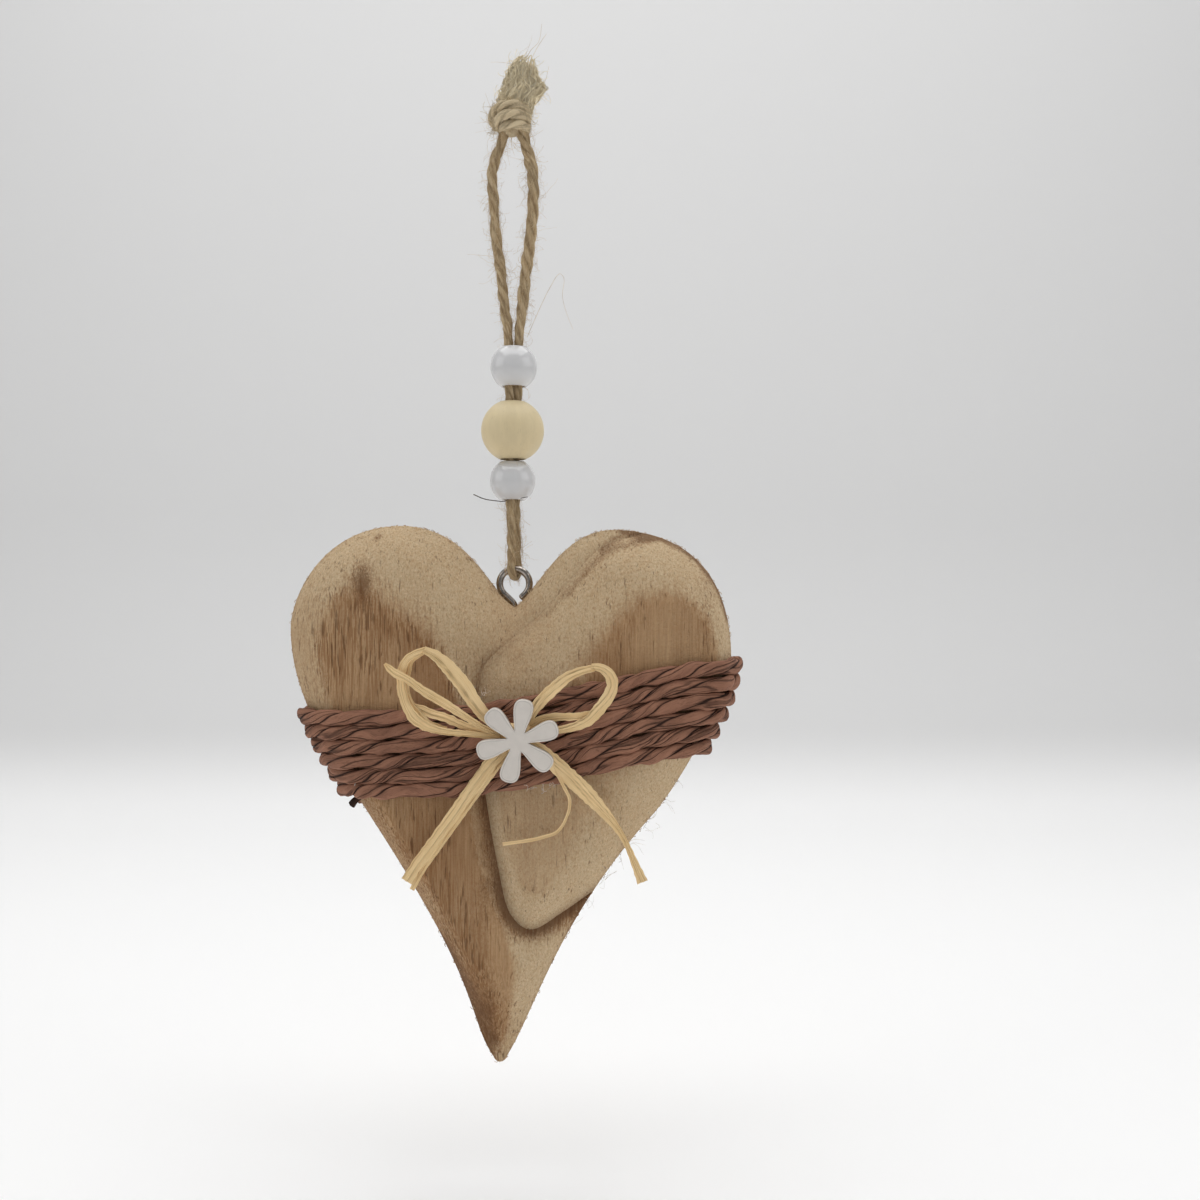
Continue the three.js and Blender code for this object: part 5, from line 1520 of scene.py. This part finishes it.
def make_camera():
    lens = bpy.data.cameras.new("camera")
    lens.sensor_width = FILM
    lens.lens = LENS
    lens.clip_start, lens.clip_end = 0.01, 20
    camera = bpy.data.objects.new("camera", lens)
    camera.location = CAMERA_PLACE
    camera.rotation_euler = (math.radians(90), 0, 0)
    bpy.context.scene.collection.objects.link(camera)
    bpy.context.scene.camera = camera


def soft_light(name, where, aim, size, watts):
    lamp = bpy.data.lights.new(name, "AREA")
    lamp.shape = "RECTANGLE"
    lamp.size, lamp.size_y = size
    lamp.energy = watts
    holder = bpy.data.objects.new(name, lamp)
    holder.location = where
    holder.rotation_euler = (Vector(aim) - Vector(where)).to_track_quat("-Z", "Y").to_euler()
    bpy.context.scene.collection.objects.link(holder)


def make_stage(look):
    bend_y = WALL_Y - SWEEP_BEND
    rows = [(-FLOOR_FAR, FLOOR_Z), (-FLOOR_NEAR, FLOOR_Z), (0.0, FLOOR_Z), (bend_y, FLOOR_Z)]
    for a in np.linspace(0, math.pi / 2, 13)[1:]:
        rows.append((bend_y + SWEEP_BEND * math.sin(a), FLOOR_Z + SWEEP_BEND - SWEEP_BEND * math.cos(a)))
    rows.append((WALL_Y, WALL_TOP))
    columns = (-FLOOR_FAR, -FLOOR_NEAR, 0, FLOOR_NEAR, FLOOR_FAR)
    sheet = np.array([[(x, y, z) for x in columns] for y, z in rows])
    shape = Shape()
    shape.grid(sheet[:, ::-1], np.zeros(len(rows)), np.zeros(5), False)
    floor = shape.build("pale_sweep", floor_paint(look))
    world = bpy.data.worlds.new("soft_room")
    world.use_nodes = True
    sky = world.node_tree.nodes["Background"].inputs
    sky["Color"].default_value = (*look.room, 1)
    sky["Strength"].default_value = look.room_strength
    bpy.context.scene.world = world
    bpy.context.scene.view_settings.view_transform = "Standard"
    soft_light("overhead", (0.0, 0.05, 0.75), (0, 0.05, -0.3), (1.3, 1.1), look.overhead)
    for name, side in (("left_side", -1), ("right_side", 1)):
        soft_light(name, (side * 1.1, -0.37, 0.3), (0, 0, -0.15), (0.9, 0.8), look.sides)


def colour(label, note, default):
    return FloatVectorProperty(
        name=label, description=note, subtype="COLOR", size=3, min=0, max=1, default=default)


class OrnamentLook(bpy.types.PropertyGroup):
    wood_light: colour("Light wood", "Carved slopes", srgb(209, 187, 153))
    wood_mid: colour("Mid wood", "Ground between the grain lines", srgb(185, 148, 108))
    # Brown and burnt also carry painted shade: along and beside the crease, and under the wound cord.
    wood_brown: colour("Brown wood", "Grain lines and specks", srgb(140, 100, 65))
    wood_burnt_and_shade: colour("Burnt wood", "Singed edges and creases", srgb(88, 58, 36))
    cord_light: colour("Light paper", "Raised folds of the paper cord", srgb(164, 118, 95))
    cord_dark: colour("Dark paper", "Ground of the paper cord", srgb(130, 92, 74))
    # Painted shade in the slits and gaps of the cord.
    cord_shade: colour("Deep paper", "Gaps and creases of the paper cord", srgb(40, 23, 17))
    raffia_light: colour("Light raffia", "Ground of the raffia", srgb(248, 218, 166))
    raffia_dark: colour("Dark raffia", "Lines in the raffia", srgb(226, 186, 126))
    flower_white: colour("Flower", "Paint of the flower", srgb(222, 215, 207))
    bead_white: colour("White beads", "Paint of the white beads", srgb(214, 214, 215))
    bead_wood: colour("Wooden bead", "Bare wood of the middle bead", srgb(224, 206, 166))
    steel: colour("Steel", "Wire of the screw eye", srgb(176, 168, 160))
    jute_light: colour("Light jute", "Fibres on top", srgb(214, 194, 160))
    jute_dark: colour("Dark jute", "Fibres between", srgb(172, 142, 102))
    floor: colour("Floor", "Pale sweep under and behind", srgb(254, 254, 254))
    # Grey of the wall: painted shade of the less lit upright part of the sweep.
    wall: colour("Wall", "Pale grey wall behind", srgb(218, 218, 218))
    room: colour("Room", "Light from all round", (1.0, 0.995, 0.985))
    twine_thickness: FloatProperty(
        name="Twine", description="Thickness of the twine", default=0.0026, min=0.001, max=0.003,
        unit="LENGTH")
    cord_width: FloatProperty(
        name="Paper cord", description="Width of the paper cord", default=0.0042, min=0.002, max=0.0045,
        unit="LENGTH")
    fibre_length: FloatProperty(
        name="Twine fibres", description="Longest loose fibre", default=0.004, min=0.0005, max=0.006,
        unit="LENGTH")
    fibre_seed: IntProperty(name="Fibre seed", description="Changes where the fibres stand", default=4, min=0)
    overhead: FloatProperty(
        name="Overhead light", description="Power of the large light", default=8.9, min=0, unit="POWER")
    sides: FloatProperty(
        name="Side lights", description="Power of each side light", default=2.5, min=0, unit="POWER")
    room_strength: FloatProperty(
        name="Room light", description="Strength of the light all round", default=0.25, min=0)


class ORNAMENT_OT_camera(bpy.types.Operator):
    """Level camera in front of the heart"""
    bl_idname = "ornament.camera"
    bl_label = "Camera"

    def execute(self, context):
        make_camera()
        return {"FINISHED"}


class ORNAMENT_OT_twine(bpy.types.Operator):
    """Twine loop with its fibres, and the beads threaded on it"""
    bl_idname = "ornament.twine"
    bl_label = "Twine and beads"

    def execute(self, context):
        look = context.scene.ornament_look
        twine, path = make_twine(look)
        beads = make_beads(look)
        tuple(path[0] * MM)
        (path * MM).tolist()
        point_values(twine.data, "fuzz", np.ones(len(twine.data.vertices)))
        hairs = fibres_on(twine, "twine_hairs", hair_paint(look), "twine", look.fibre_length, look.fibre_seed)
        place(hairs, "jute")
        make_twine_curls(path, hairs.data.materials[0])
        make_dark_fibre()
        return {"FINISHED"}


class ORNAMENT_OT_knot(bpy.types.Operator):
    """Knot that closes the loop, with the frayed ends above it"""
    bl_idname = "ornament.knot"
    bl_label = "Knot and tuft"

    def execute(self, context):
        look = context.scene.ornament_look
        knot = make_knot(jute_paint(look, "jute_knot", 0.45))
        tuft = make_tuft(jute_paint(look, "jute_tuft", 1.0))
        for k, (piece, kind) in enumerate(((knot, "knot"), (tuft, "tuft"))):
            point_values(piece.data, "fuzz", np.ones(len(piece.data.vertices)))
            hairs = fibres_on(piece, piece.name + "_hairs", piece.data.materials[0], kind, look.fibre_length,
                              look.fibre_seed + 9 + k)
            place(hairs, "jute")
        return {"FINISHED"}


class ORNAMENT_OT_heart(bpy.types.Operator):
    """Carved wooden heart with the fuzz along its edges"""
    bl_idname = "ornament.heart"
    bl_label = "Carved heart"

    def execute(self, context):
        look = context.scene.ornament_look
        heart = make_heart(look)
        fuzz = fibres_on(heart, "heart_fuzz", fuzz_paint(look), "wood", WOOD_FUZZ_LENGTH, 15, WOOD_FUZZ_BEND)
        place(fuzz, "carved_wood")
        make_edge_curls()
        return {"FINISHED"}


class ORNAMENT_OT_paper_cord(bpy.types.Operator):
    """Two-ply paper cord wound six times round the heart"""
    bl_idname = "ornament.paper_cord"
    bl_label = "Paper cord"

    def execute(self, context):
        make_paper_cord(context.scene.ornament_look)
        return {"FINISHED"}


class ORNAMENT_OT_bow(bpy.types.Operator):
    """Raffia bow with its loops and tails"""
    bl_idname = "ornament.bow"
    bl_label = "Raffia bow"

    def execute(self, context):
        make_bow(context.scene.ornament_look)
        return {"FINISHED"}


class ORNAMENT_OT_flower(bpy.types.Operator):
    """White flower in front of the bow"""
    bl_idname = "ornament.flower"
    bl_label = "Flower"

    def execute(self, context):
        make_flower(context.scene.ornament_look)
        return {"FINISHED"}


class ORNAMENT_OT_eye(bpy.types.Operator):
    """Screw eye bent from steel wire"""
    bl_idname = "ornament.eye"
    bl_label = "Screw eye"

    def execute(self, context):
        make_eye(context.scene.ornament_look)
        return {"FINISHED"}


class ORNAMENT_OT_stage(bpy.types.Operator):
    """Pale sweep, soft lights and room light"""
    bl_idname = "ornament.stage"
    bl_label = "Stage"

    def execute(self, context):
        make_stage(context.scene.ornament_look)
        return {"FINISHED"}


STEPS = (
    ORNAMENT_OT_camera, ORNAMENT_OT_twine, ORNAMENT_OT_knot, ORNAMENT_OT_heart, ORNAMENT_OT_paper_cord,
    ORNAMENT_OT_bow, ORNAMENT_OT_flower, ORNAMENT_OT_eye, ORNAMENT_OT_stage,
)


class ORNAMENT_PT_panel(bpy.types.Panel):
    """Sizes, colours and steps of the ornament"""
    bl_idname = "ORNAMENT_PT_panel"
    bl_label = "Carved Heart Ornament"
    bl_space_type = "VIEW_3D"
    bl_region_type = "UI"
    bl_category = "Ornament"

    def draw(self, context):
        look = context.scene.ornament_look
        for name in OrnamentLook.__annotations__:
            self.layout.prop(look, name)
        for step in STEPS:
            self.layout.operator(step.bl_idname)


CLASSES = (OrnamentLook, *STEPS, ORNAMENT_PT_panel)


def register():
    for kind in CLASSES:
        bpy.utils.register_class(kind)
    bpy.types.Scene.ornament_look = PointerProperty(type=OrnamentLook)


def unregister():
    del bpy.types.Scene.ornament_look
    for kind in reversed(CLASSES):
        bpy.utils.unregister_class(kind)


def main():
    register()
    for step in STEPS:
        group, name = step.bl_idname.split(".")
        getattr(getattr(bpy.ops, group), name)()


if __name__ == "__main__":
    main()
